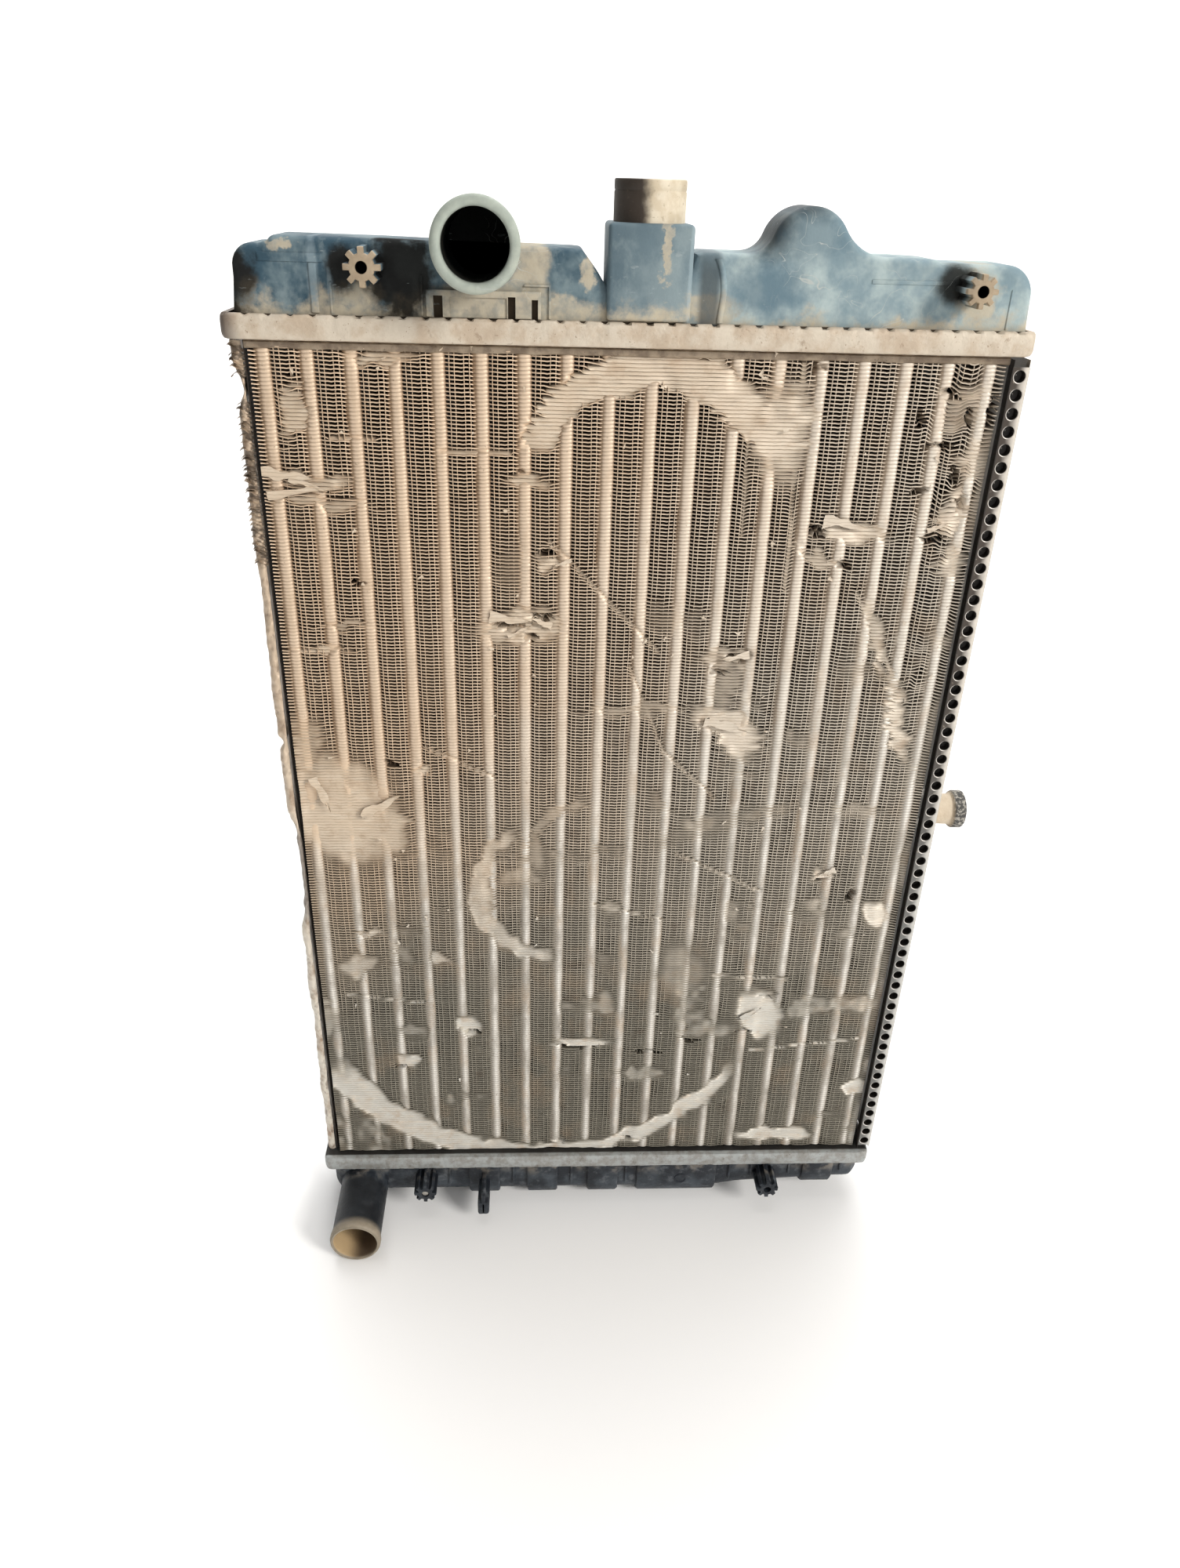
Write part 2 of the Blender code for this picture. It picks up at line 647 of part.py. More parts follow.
def bottom_outline(inset):
    """The bottom tank seen from the front: shallower towards its right end."""
    top = foot_span(CORE_BOTTOM, -1)[1] + (2 * MM if inset else -MM)
    low = CORE_BOTTOM - BOTTOM_DEPTH + inset
    end = TANK_HALF_LENGTH - inset
    points = [(-end, top)] + arc((-end + 8 * MM, low + 8 * MM), 8 * MM, 180, 270, 3)
    points += [(86 * MM, low), (104 * MM, low + 4 * MM), (148 * MM, low + 7 * MM)]
    points += arc((end - 8 * MM, low + 17 * MM), 8 * MM, 275, 360, 3)
    points += [(end, top)]
    return points


PADS = ((-94, -72), (-52, -30), (-8, 14), (28, 86), (150, 172))  # x in mm of the raised bands


def bottom_tank():
    far = TANK_HALF_LENGTH + 5 * MM
    tank = prism("bottom_tank", bottom_section(0, CORE_BOTTOM), -far, far, axis="X", material="tank_plastic")
    combine(tank, prism("bottom_front", bottom_outline(0), -40 * MM, 40 * MM), "INTERSECT")
    below_lip = CORE_BOTTOM - HEADER_HEIGHT - 2 * GAP
    for left, right in PADS:
        rise = 7 * MM if left > 100 else 0
        outline = [(y, z + rise) for y, z in bottom_section(-PAD_DEPTH, below_lip - rise)]
        join(tank, prism(f"pad_{left}", outline, left * MM, right * MM, axis="X"))
    hook = box("shroud_hook", (-87 * MM, -43 * MM, 11 * MM), (-79 * MM, -TANK_HALF_DEPTH + MM, 23 * MM))
    join(tank, foot("bottom_foot", CORE_BOTTOM, -1), outlet_neck(), round_edges(hook, 1.5 * MM))
    for i, (x, depth) in enumerate(BOTTOM_BOSSES):
        join(tank, star_boss(f"bottom_boss_{i}", x, CORE_BOTTOM - depth))
    cavity = prism("bottom_cavity", bottom_section(TANK_WALL, CORE_BOTTOM), -far, far, axis="X")
    combine(cavity, prism("bottom_cavity_front", bottom_outline(TANK_WALL), -40 * MM, 40 * MM), "INTERSECT")
    cut(tank, cavity, bore("outlet_bore", OUTLET_X, OUTLET_Z, OUTLET_END_Y, OUTLET_BORE, 0))
    for i, (x, depth) in enumerate(BOTTOM_BOSSES):
        cut(tank, boss_hole(f"bottom_boss_hole_{i}", x, CORE_BOTTOM - depth))


def shroud_screw():
    """A screw's broken shank left in the bottom left boss."""
    x, depth = BOTTOM_BOSSES[0]
    centre = (x, BOSS_END_Y + 5 * MM, CORE_BOTTOM - depth)
    cylinder("shroud_screw", centre, "Y", BOSS_HOLE - 1.5 * GAP, 8 * MM, 10, "steel")


def shade_parts():
    for obj in RADIATOR.objects:
        obj.data.shade_smooth()
        obj.data.set_sharp_from_angle(angle=radians(32))


def main():
    front, rear = tube_places()
    for i, (x, y) in enumerate(front):
        tube(f"front_tube_{i + 1}", x, y)
    for i, (x, y) in enumerate(rear):
        tube(f"rear_tube_{i + 1}", x, y)
    fin_pack()
    header("top_header", CORE_TOP, 1)
    header("bottom_header", CORE_BOTTOM, -1)
    gasket("top_gasket", CORE_TOP, 1)
    gasket("bottom_gasket", CORE_BOTTOM, -1)
    side_plate("left_side_plate", -1, perforated=False)
    side_plate("right_side_plate", 1, perforated=True)
    top_tank()
    filler_neck()
    bottom_tank()
    shroud_screw()
    mounting_pin()
    pin_rivet("pin_rivet_upper", 1)
    pin_rivet("pin_rivet_lower", -1)
    pin_bush()
    shade_parts()


main()
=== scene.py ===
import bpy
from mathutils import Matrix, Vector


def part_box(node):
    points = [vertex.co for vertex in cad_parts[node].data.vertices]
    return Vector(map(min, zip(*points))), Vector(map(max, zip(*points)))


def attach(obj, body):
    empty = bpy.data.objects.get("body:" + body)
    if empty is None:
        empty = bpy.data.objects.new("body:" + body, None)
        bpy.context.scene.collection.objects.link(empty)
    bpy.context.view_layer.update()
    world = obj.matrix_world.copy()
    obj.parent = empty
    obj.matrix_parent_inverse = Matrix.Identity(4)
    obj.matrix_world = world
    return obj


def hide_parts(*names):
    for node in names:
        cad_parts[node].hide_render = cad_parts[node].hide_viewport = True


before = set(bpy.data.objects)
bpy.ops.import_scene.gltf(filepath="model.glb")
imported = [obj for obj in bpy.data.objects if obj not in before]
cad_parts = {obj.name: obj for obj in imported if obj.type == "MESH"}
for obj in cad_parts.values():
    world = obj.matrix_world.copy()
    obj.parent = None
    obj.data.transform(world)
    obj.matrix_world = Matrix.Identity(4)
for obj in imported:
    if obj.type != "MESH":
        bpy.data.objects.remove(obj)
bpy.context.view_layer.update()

from math import atan2, cos, degrees, pi, radians, sin, sqrt

import bmesh
import bpy
import numpy as np
from mathutils import Matrix, Vector

# A used car radiator. Lengths are in millimetres until a mesh is made.
MM = 0.001


def corners(node):
    low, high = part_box(node)
    return np.array(low) / MM, np.array(high) / MM


FIN_LOW, FIN_HIGH = corners("fin_pack")
HEADER_LOW, HEADER_HIGH = corners("top_header")
BASE_LOW, BASE_HIGH = corners("bottom_header")
PLATE_LOW, PLATE_HIGH = corners("right_side_plate")
LEFT_LOW, LEFT_HIGH = corners("left_side_plate")
NECK_LOW, NECK_HIGH = corners("filler_neck")
BUSH_LOW, BUSH_HIGH = corners("pin_bush")
PIN_LOW, PIN_HIGH = corners("mount_pin")
CORE_TOP = HEADER_LOW[2]
CORE_BOTTOM = BASE_HIGH[2]
FRONT_TUBES = sorted(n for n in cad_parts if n.startswith("front_tube_"))
REAR_TUBES = sorted(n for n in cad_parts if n.startswith("rear_tube_"))


def middle_x(node):
    low, high = corners(node)
    return (low[0] + high[0]) / 2


FRONT_X = sorted(middle_x(n) for n in FRONT_TUBES)
REAR_X = sorted(middle_x(n) for n in REAR_TUBES)
TUBE_PITCH = FRONT_X[1] - FRONT_X[0]


# Meshes


def noise(u, v, seed):
    """Smooth noise from 0 to 1, one cell to a unit."""
    table = np.random.default_rng(seed).random((64, 64))
    u, v = np.broadcast_arrays(np.asarray(u, float), np.asarray(v, float))
    iu, iv = np.floor(u).astype(int), np.floor(v).astype(int)
    fu, fv = u - iu, v - iv
    fu, fv = fu * fu * (3 - 2 * fu), fv * fv * (3 - 2 * fv)
    a, b = table[iu % 64, iv % 64], table[(iu + 1) % 64, iv % 64]
    c, d = table[iu % 64, (iv + 1) % 64], table[(iu + 1) % 64, (iv + 1) % 64]
    return (a * (1 - fu) + b * fu) * (1 - fv) + (c * (1 - fu) + d * fu) * fv


def ramp(x, low, high):
    t = np.clip((x - low) / (high - low), 0, 1)
    return t * t * (3 - 2 * t)


def grid_faces(rows, columns, wrap_columns=False, base=0):
    """Quads over a grid of points; wrapped columns join the last to the first."""
    c = np.arange(columns if wrap_columns else columns - 1)
    r, c = np.meshgrid(np.arange(rows - 1), c, indexing="ij")
    r2, c2 = r + 1, (c + 1) % columns
    quads = [r * columns + c, r * columns + c2, r2 * columns + c2, r2 * columns + c]
    return np.stack(quads, -1).reshape(-1, 4) + base


def add_object(name, points, faces, sharp=40, **attributes):
    """An object from points in millimetres and quads (an array) or mixed faces (a list)."""
    mesh = bpy.data.meshes.new(name)
    points = np.asarray(points, float).reshape(-1, 3) * MM
    if isinstance(faces, np.ndarray):
        mesh.vertices.add(len(points))
        mesh.vertices.foreach_set("co", points.ravel())
        mesh.loops.add(faces.size)
        mesh.loops.foreach_set("vertex_index", faces.ravel().astype(np.int32))
        mesh.polygons.add(len(faces))
        mesh.polygons.foreach_set("loop_start", np.arange(len(faces), dtype=np.int32) * faces.shape[1])
    else:
        mesh.from_pydata([tuple(p) for p in points], [], [tuple(f) for f in faces])
    mesh.update(calc_edges=True)
    mesh.validate()
    for key, values in attributes.items():
        layer = mesh.attributes.new(key, "FLOAT", "POINT")
        layer.data.foreach_set("value", np.asarray(values, np.float32).ravel())
    obj = bpy.data.objects.new(name, mesh)
    bpy.context.scene.collection.objects.link(obj)
    return finish_shading(obj, sharp)


def finish_shading(obj, sharp=40):
    obj.data.shade_smooth()
    if sharp:
        obj.data.set_sharp_from_angle(angle=radians(sharp))
    return obj


def face_out(obj):
    bm = bmesh.new()
    bm.from_mesh(obj.data)
    bmesh.ops.recalc_face_normals(bm, faces=bm.faces)
    bm.to_mesh(obj.data)
    bm.free()
    return obj


def bake_modifiers(obj):
    graph = bpy.context.evaluated_depsgraph_get()
    mesh = bpy.data.meshes.new_from_object(obj.evaluated_get(graph))
    old = obj.data
    obj.modifiers.clear()
    obj.data = mesh
    bpy.data.meshes.remove(old)
    return obj


def bevel(obj, width, segments=3, angle=35):
    modifier = obj.modifiers.new("bevel", "BEVEL")
    modifier.width = width * MM
    modifier.segments = segments
    modifier.limit_method = "ANGLE"
    modifier.angle_limit = radians(angle)
    bake_modifiers(obj)
    return finish_shading(obj)


def subtract(obj, *cutters):
    for cutter in cutters:
        modifier = obj.modifiers.new("cut", "BOOLEAN")
        modifier.operation = "DIFFERENCE"
        modifier.solver = "EXACT"
        modifier.object = cutter
        bpy.context.view_layer.update()
        bake_modifiers(obj)
        bpy.data.objects.remove(cutter, do_unlink=True)
    return finish_shading(obj)


def merge(name, *objects):
    bm = bmesh.new()
    for obj in objects:
        bm.from_mesh(obj.data)
        bpy.data.objects.remove(obj, do_unlink=True)
    mesh = bpy.data.meshes.new(name)
    bm.to_mesh(mesh)
    bm.free()
    obj = bpy.data.objects.new(name, mesh)
    bpy.context.scene.collection.objects.link(obj)
    return finish_shading(obj)


def block(low, high, width=0.6, segments=2):
    (x0, y0, z0), (x1, y1, z1) = low, high
    points = [(x, y, z) for x in (x0, x1) for y in (y0, y1) for z in (z0, z1)]
    faces = [(0, 1, 3, 2), (4, 6, 7, 5), (0, 4, 5, 1), (2, 3, 7, 6), (0, 2, 6, 4), (1, 5, 7, 3)]
    obj = add_object("block", points, faces)
    return bevel(face_out(obj), width, segments) if width else face_out(obj)


def arc(centre, radius, start, end, steps):
    turns = [radians(start + (end - start) * i / steps) for i in range(steps + 1)]
    return [(centre[0] + radius * cos(t), centre[1] + radius * sin(t)) for t in turns]


def lathe(centre, axis, profile, sides=64, ragged=0, seed=1, caps=(False, False)):
    """A surface turned about a line along an axis, from (radius, place along it) stations."""
    t = np.linspace(0, 2 * pi, sides, endpoint=False)
    rings = []
    for radius, along in profile:
        wobble = 1 + ragged * (noise(t * 2.2, along * 0.3, seed) - 0.5)
        u, v = radius * wobble * np.cos(t), radius * wobble * np.sin(t)
        place = {"X": (along + 0 * u, u, v), "Y": (u, along + 0 * u, v), "Z": (u, v, along + 0 * u)}[axis]
        rings.append(np.stack(place, -1) + np.array(centre))
    faces = grid_faces(len(rings), sides, wrap_columns=True).tolist()
    if caps[0]:
        faces.append(list(range(sides)))
    if caps[1]:
        faces.append([(len(rings) - 1) * sides + i for i in range(sides)])
    return face_out(add_object("lathe", np.concatenate(rings), faces))


def drum(centre, axis, radius, low, high, sides=64):
    return lathe(centre, axis, [(radius, low), (radius, high)], sides, caps=(True, True))


def loft(outlines):
    """A closed solid through outlines of (x, y, z) rows that have the same number of points."""
    count = len(outlines[0])
    points = [p for outline in outlines for p in outline]
    faces = grid_faces(len(outlines), count, wrap_columns=True).tolist()
    obj = add_object("loft", points, faces)
    bm = bmesh.new()
    bm.from_mesh(obj.data)
    bm.verts.ensure_lookup_table()
    last = (len(outlines) - 1) * count
    caps = [bm.faces.new([bm.verts[i] for i in range(count)])]
    caps.append(bm.faces.new([bm.verts[last + i] for i in range(count)]))
    bm.normal_update()
    bmesh.ops.triangulate(bm, faces=caps)
    bmesh.ops.recalc_face_normals(bm, faces=bm.faces)
    bm.to_mesh(obj.data)
    bm.free()
    return finish_shading(obj)


def rounded_slab(outline_at, front, back, edge, steps=4):
    """A loft along Y of outline_at(inset) in (x, z), with rounded front and back edges."""
    turns = [pi / 2 * i / steps for i in range(steps + 1)]
    stations = [(edge * (1 - sin(t)), edge * (1 - cos(t))) for t in turns]
    rows = [(outline_at(inset), front + y) for inset, y in stations]
    rows += [(outline_at(inset), back - y) for inset, y in reversed(stations)]
    return loft([[(x, y, z) for x, z in outline] for outline, y in rows])


# Wear on the fin face: where the fins are combed flat, dented, torn away or dusty


def ellipse(x, z, centre, half, tilt=0, soft=0.5):
    t = radians(tilt)
    u = ((x - centre[0]) * cos(t) + (z - centre[1]) * sin(t)) / half[0]
    v = (-(x - centre[0]) * sin(t) + (z - centre[1]) * cos(t)) / half[1]
    return 1 - ramp(np.sqrt(u * u + v * v), 1 - soft, 1 + soft)


def ring(x, z, centre, radius, start, end, width, soft=2.5, taper=25):
    """Part of a ring: width is its half width at the start, the middle and the end of its sweep."""
    turn = np.degrees(np.arctan2(z - centre[1], x - centre[0]))
    turn = np.where(turn < start - 60, turn + 360, turn)
    along = np.clip((turn - start) / (end - start), 0, 1)
    half = np.interp(along, [0, 0.5, 1], width)
    far = np.abs(np.hypot(x - centre[0], z - centre[1]) - radius)
    mask = 1 - ramp(far, half, half + soft)
    return mask * ramp(turn, start - 2, start + taper / 2) * (1 - ramp(turn, end - taper / 2, end + 2))


# (centre x, centre z, half length, half height, tilt, strength)
COMBED = (
    (-122, 584, 16, 4, 0, 0.8), (-168, 557, 5, 14, -15, 0.9), (-160, 523, 18, 4, -4, 0.8),
    (-158, 513, 24, 3, -4, 0.7), (-150, 446, 14, 1.6, 0, 0.6), (-165, 432, 18, 1.8, 2, 0.7),
    (-52, 526, 9, 4, 0, 0.9), (-40, 483, 6, 5, 0, 0.8), (-56, 446, 21, 10, 5, 1.0),
    (-162, 330, 31, 36, 20, 1.0), (-135, 318, 12, 18, 10, 0.9), (-178, 372, 10, 22, 0, 0.6),
    (64, 389, 22, 8, -22, 1.0), (73, 378, 12, 12, 0, 1.0), (78, 553, 14, 25, 0, 0.95),
    (60, 428, 13, 8, 0, 0.7), (60, 412, 10, 16, 0, 0.5), (120, 500, 20, 5, 0, 1.0),
    (105, 487, 14, 3, -25, 0.7), (142, 441, 4, 24, 22, 0.8), (163, 392, 5, 26, 14, 0.9),
    (168, 566, 13, 14, 0, 0.55), (178, 540, 8, 12, 0, 0.6), (172, 512, 7, 12, 0, 0.8),
    (176, 486, 7, 10, 0, 0.7), (-112, 358, 6, 4, 0, 0.9), (133, 285, 8, 5, 0, 0.8),
    (170, 255, 11, 7, -45, 0.9), (-90, 163, 9, 8, 0, 1.0), (-133, 134, 7, 6, 10, 1.0),
    (-15, 149, 20, 4, 5, 0.9), (-108, 220, 6, 4, 0, 0.8), (-150, 240, 10, 3, 0, 0.7),
    (-160, 214, 14, 9, 20, 0.7), (125, 60, 26, 6, 0, 1.0), (178, 104, 9, 6, 0, 1.0),
    (104, 172, 14, 22, 25, 0.95), (49, 208, 18, 24, 0, 0.45), (60, 320, 34, 8, 20, 0.35),
    (-60, 480, 10, 14, 0, 0.35), (30, 452, 22, 8, -10, 0.35), (10, 398, 30, 3, 2, 0.5),
    (90, 330, 22, 4, 10, 0.4), (150, 330, 14, 5, 0, 0.45),
)
# (centre x, centre z, half length, half height)
TORN = (
    (-62, 447, 9, 3), (-44, 451, 7, 5), (-50, 441, 5, 3), (-158, 519, 8, 1.5), (66, 430, 9, 3),
    (56, 421, 6, 2), (102, 502, 6, 3), (118, 483, 5, 2), (160, 573, 6, 2), (172, 560, 2, 7),
    (158, 547, 8, 1.6), (169, 533, 2, 5), (152, 523, 6, 1.4), (182, 566, 1.6, 9), (177, 518, 2, 5),
    (163, 498, 7, 1.5), (146, 560, 2, 6), (92, 583, 4, 1.6), (-42, 488, 4, 2), (-140, 470, 3, 2),
    (-56, 530, 3, 2), (-130, 362, 5, 1.5), (108, 188, 7, 2.5), (96, 158, 6, 2), (60, 150, 9, 2),
    (-20, 144, 14, 1.6), (-88, 158, 6, 1.6), (-138, 128, 5, 1.6), (152, 268, 3, 6), (133, 281, 5, 1.6),
    (30, 140, 10, 1.4), (-30, 55, 6, 1.6), (20, 58, 8, 1.4),
)
# Long shallow scratches: from, to, half width
SCRATCHES = (
    ((-40, 494), (21, 433), 1.6), ((-96, 539), (-60, 540), 1.4), ((5, 424), (28, 370), 1.6),
    ((28, 370), (60, 340), 1.3), ((-150, 545), (-128, 545), 1.2), ((-110, 372), (-70, 352), 1.2),
    ((40, 300), (95, 272), 1.3), ((-10, 262), (34, 250), 1.3), ((85, 585), (88, 470), 2.2),
    ((128, 468), (156, 420), 2.2), ((60, 560), (62, 500), 1.2), ((70, 205), (120, 202), 1.3),
    ((-170, 190), (-120, 184), 1.2), ((100, 140), (176, 150), 1.2),
)


def stroke(x, z, start, end, half, soft=1.2):
    (x0, z0), (x1, z1) = start, end
    dx, dz = x1 - x0, z1 - z0
    t = np.clip(((x - x0) * dx + (z - z0) * dz) / (dx * dx + dz * dz), 0, 1)
    far = np.hypot(x - x0 - t * dx, z - z0 - t * dz)
    return 1 - ramp(far, half, half + soft)


def combed(x, z):
    """How far the fins' front edges are folded down, from 0 to 1."""
    wobble = 5 * (noise(x / 9, z / 9, 11) - 0.5)
    streak = (2 + 6 * ramp(z, 240, 380)) * (noise(x / 40, z / 1.3, 17) - 0.5)
    wx, wz = x + wobble + streak, z + 7 * (noise(x / 7, z / 7, 12) - 0.5)
    top = ellipse(wx, wz, (14, 520), (72, 72), soft=0.02)
    top = top * (1 - ellipse(wx, wz, (10, 510), (61, 62), soft=0.025))
    bend = top * ramp(wz, 535, 548)
    bend = np.maximum(bend, ring(wx, wz, (-45, 202), 156, 204, 334, (9, 2.5, 1.6), soft=8))
    bend = np.maximum(bend, 0.7 * ring(wx, wz, (-32, 272), 50, 118, 272, (1, 5, 2), soft=6))
    bend = np.maximum(bend, 0.5 * ring(wx, wz, (-10, 300), 38, 95, 200, (1.5, 2.5, 1.5)))
    for cx, cz, half, height, tilt, strength in COMBED:
        bend = np.maximum(bend, strength * ellipse(wx, wz, (cx, cz), (half, height), tilt))
    for start, end, half in SCRATCHES:
        bend = np.maximum(bend, 0.6 * stroke(x + 0.2 * wobble, z, start, end, half * 0.3))
    edge = ramp(x, 176, 187) * (0.3 + 0.7 * noise(x / 5, z / 14, 13)) * ramp(
        noise(0, z / 30, 14), 0.35, 0.7
    )
    rubbed = 0.5 * ramp(noise(x / 26, z / 20, 15) + 0.25 * noise(x / 5, z / 5, 16), 0.82, 1.1)
    rubbed = rubbed * (1 - ramp(z - 0.6 * x, 330, 420))
    return np.clip(np.maximum(np.maximum(bend, edge), rubbed), 0, 1)


def torn(x, z):
    hole = np.zeros(np.broadcast(x, z).shape)
    wx = x + 4 * (noise(x / 3, z / 3, 21) - 0.5)
    wz = z + 3 * (noise(x / 3, z / 3, 22) - 0.5)
    for cx, cz, half, height in TORN:
        hole = np.maximum(hole, ellipse(wx, wz, (cx, cz), (0.8 * half, 0.8 * height), soft=0.3))
    return hole


# Core: stacked fins, collars on the tubes and the fins' spacer tabs


FIN_PITCH = 1.9
FIN_LIP = 0.6
EDGE_GAP = 1.5  # the fins' ends stop short of the side plates
HINGE = 2.9  # length of fin that folds
TAB_PLACES = (0.24, 0.36, 0.58, 0.71)
# Along a fin, from one tube to the next: place (in tube pitches), wave, tilt and set-back
FIN_STEPS = (
    (0.0, 0.0, 0.0, 2.0), (0.15, 0.0, 0.0, 1.5), (0.24, 0.0, 0.0, 0.4), (0.30, 0.0, 0.0, 0.0),
    (0.36, 0.0, 0.3, 0.0), (0.43, 0.12, 0.9, 0.1), (0.51, -0.1, 0.9, 0.1), (0.58, 0.0, 0.3, 0.0),
    (0.645, 0.0, 0.0, 0.0), (0.70, 0.0, 0.3, 0.2), (0.78, -0.12, 1.2, 0.9), (0.85, -0.15, 1.2, 1.5),
    (0.93, -0.1, 1.0, 1.9),
)
# How deep in the gap each row of a fin lies, from its back lip to its front lip; the fin material paints
# shade by it
FIN_DEPTHS = (0.0, 0.0, 1.0, 0.45, 0.0, 0.0)
FIN_ROWS = len(FIN_DEPTHS)
FIN_BANKS = 6


def highlight_side(x, z):
    """1 towards the lower right, where the ridges are narrow and carry a painted highlight, 0 to the
    upper left.
    """
    return 1 - ramp(z - 0.35 * x, 270, 430)


def fin_stations():
    """Rows of the places along a fin and of their wave, tilt and set-back."""
    left, right = FIN_LOW[0] + EDGE_GAP, FIN_HIGH[0] - EDGE_GAP
    starts = FRONT_X[0] + np.arange(-1, len(FRONT_X)) * TUBE_PITCH
    steps = np.tile(np.array(FIN_STEPS).T, len(starts))
    steps[0] = np.repeat(starts, len(FIN_STEPS)) + steps[0] * TUBE_PITCH
    steps = steps[:, (left < steps[0]) & (steps[0] < right)]
    ends = np.zeros((4, 2))
    ends[0] = left, right
    return np.hstack((ends[:, :1], steps, ends[:, 1:]))


def fin_banks():
    xs, wave, tilt, near = fin_stations()
    levels = np.arange(FIN_LOW[2] + 1.2, FIN_HIGH[2] - 0.8, FIN_PITCH)
    x, z = np.meshgrid(xs, levels)
    draws = np.random.default_rng(5)
    bend, hole = combed(x, z), torn(x, z)
    jitter = draws.normal(0, 0.025, z.shape) + 0.5 * (noise(x / 40, z / 60, 31) - 0.5)
    kinked = np.maximum(ellipse(x, z, (168, 535), (19, 66)), 0.7 * ellipse(x, z, (172, 430), (13, 60)))
    kinks = 4.0 * kinked * (noise(x / 5, z / 8, 34) - 0.5)
    level = z + (wave + jitter) * (1 - 0.6 * bend) + kinks
    droop = tilt * (1 - bend)
    front = -FIN_HIGH[1] + 0.1 + near * (1 - bend) * (1 - 0.55 * highlight_side(x, z))
    push = 7 * hole * (0.5 + 0.5 * draws.random(z.shape)) + 0.8 * ramp(
        noise(x / 18, z / 18, 32), 0.6, 0.9
    )
    push = push + 1.2 * ellipse(x, z, (66, 384), (18, 14)) + 1.0 * ellipse(x, z, (-162, 330), (28, 32))
    uneven = 0.82 + 0.3 * noise(x / 6, z / 4, 33)
    angle = radians(80) * np.clip(bend * uneven, 0, 1) * (1 - 0.8 * hole) + droop * 0.12
    angle = angle + hole * draws.normal(0, 0.7, z.shape)
    root, step, back = front + HINGE, HINGE / 2, FIN_HIGH[1]
    y1 = root - step * np.cos(0.55 * angle)
    z1 = level - step * np.sin(0.55 * angle)
    y2 = y1 - step * np.cos(angle)
    z2 = z1 - step * np.sin(angle)
    y3 = y2 + FIN_LIP * np.sin(angle)
    z3 = z2 - FIN_LIP * np.cos(angle)
    rows = [(back + 0 * z, level - FIN_LIP), (back + 0 * z, level)]
    rows += [(root + push * 0.8, level), (y1 + push, z1), (y2 + push, z2), (y3 + push, z3)]
    points = np.stack([np.stack((x, np.minimum(ys, back), zs), -1) for ys, zs in rows], 2)
    points[..., 2] = np.clip(points[..., 2], CORE_BOTTOM + 0.3, CORE_TOP - 0.3)
    for bank, part in enumerate(np.array_split(np.arange(len(levels)), FIN_BANKS), 1):
        count = len(xs) * FIN_ROWS
        faces = [grid_faces(len(xs), FIN_ROWS, base=i * count) for i in range(len(part))]
        spread = np.repeat(bend[part][..., None], FIN_ROWS, -1)
        spread[..., :2] = 0  # the back edges are whole
        deep = np.broadcast_to(FIN_DEPTHS, spread.shape)
        faces = np.concatenate(faces)
        obj = add_object(f"fin_bank_{bank}", points[part], faces, 50, combed=spread, deep=deep)
        give(obj, FIN_METAL, "fin_aluminium", "fin_pack")


# The collars' section: place across from the tube's middle and depth behind the fin face.
# The front ones have a long slope on their left and a steep edge on their right.
FRONT_RIDGE = (
    (-5.2, 3.2), (-4.5, 1.7), (-3.6, 1.15), (-2.6, 0.75), (-1.3, 0.42),
    (0.1, 0.3), (1.4, 0.4), (2.4, 0.85), (3.0, 1.6), (3.3, 3.6),
)
REAR_RIDGE = ((-4.6, 3.4), (-3.4, 1.6), (-1.8, 0.6), (0.0, 0.35), (1.8, 0.6), (3.4, 1.6), (4.6, 3.4))


def collars(name, centres, sign, per_fin, section, nodes):
    """Stacked fin collars round the tubes: smooth ridges with a fine line at each fin."""
    levels = np.arange(FIN_LOW[2], FIN_HIGH[2], FIN_PITCH / per_fin)
    across, depth = np.array(section).T
    points, faces, spread, flank_shades, lines, crest_highlights = [], [], [], [], [], []
    for i, centre in enumerate(centres):
        z, dx = np.meshgrid(levels, across, indexing="ij")
        # Weights for the painted shade on each collar's deeper slopes, strongest on its left side, away
        # from the key light.
        flank_shades.append(ramp(depth + 0 * dx, 0.35, 1.3).ravel() * np.where(dx.ravel() < 0.5, 1.0, 0.6))
        # Weights for a painted highlight down the middle of each collar's crest.
        crest_highlights.append(np.exp(-(((dx - 0.2) / 1.6) ** 2)).ravel())
        x = centre + dx * (1 + 0.12 * (noise(z / 30, i, 41) - 0.5))
        bend = combed(x, z) if sign < 0 else 0 * x
        hole = torn(x, z) if sign < 0 else 0 * x
        line = np.where(np.arange(len(levels)) % per_fin == 0, 1.0, 0.0)[:, None]
        groove = line * (0.4 + 0.8 * depth / depth.max()) * (1 - 0.5 * bend)
        back = depth + groove + 2.2 * bend + 4 * hole + 0.5 * noise(x / 14, z / 9, 42 + i) ** 3
        back = back + 0.5 * bend * noise(x / 5, z / 3, 43)
        y = FIN_HIGH[1] - back
        faces.append(grid_faces(len(levels), len(across), base=i * x.size))
        points.append(np.stack((x, sign * y, z), -1).reshape(-1, 3))
        spread.append(bend.ravel())
        lines.append(((line + 0 * dx) * (1 - 0.8 * bend)).ravel())
    wear = {"combed": spread, "flank_shade": flank_shades, "line": lines, "crest_highlight": crest_highlights}
    wear = {key: np.concatenate(values) for key, values in wear.items()}
    obj = add_object(name, np.concatenate(points), np.concatenate(faces), 0, **wear)
    give(obj, COLLAR_METAL, "tube_aluminium", *nodes)


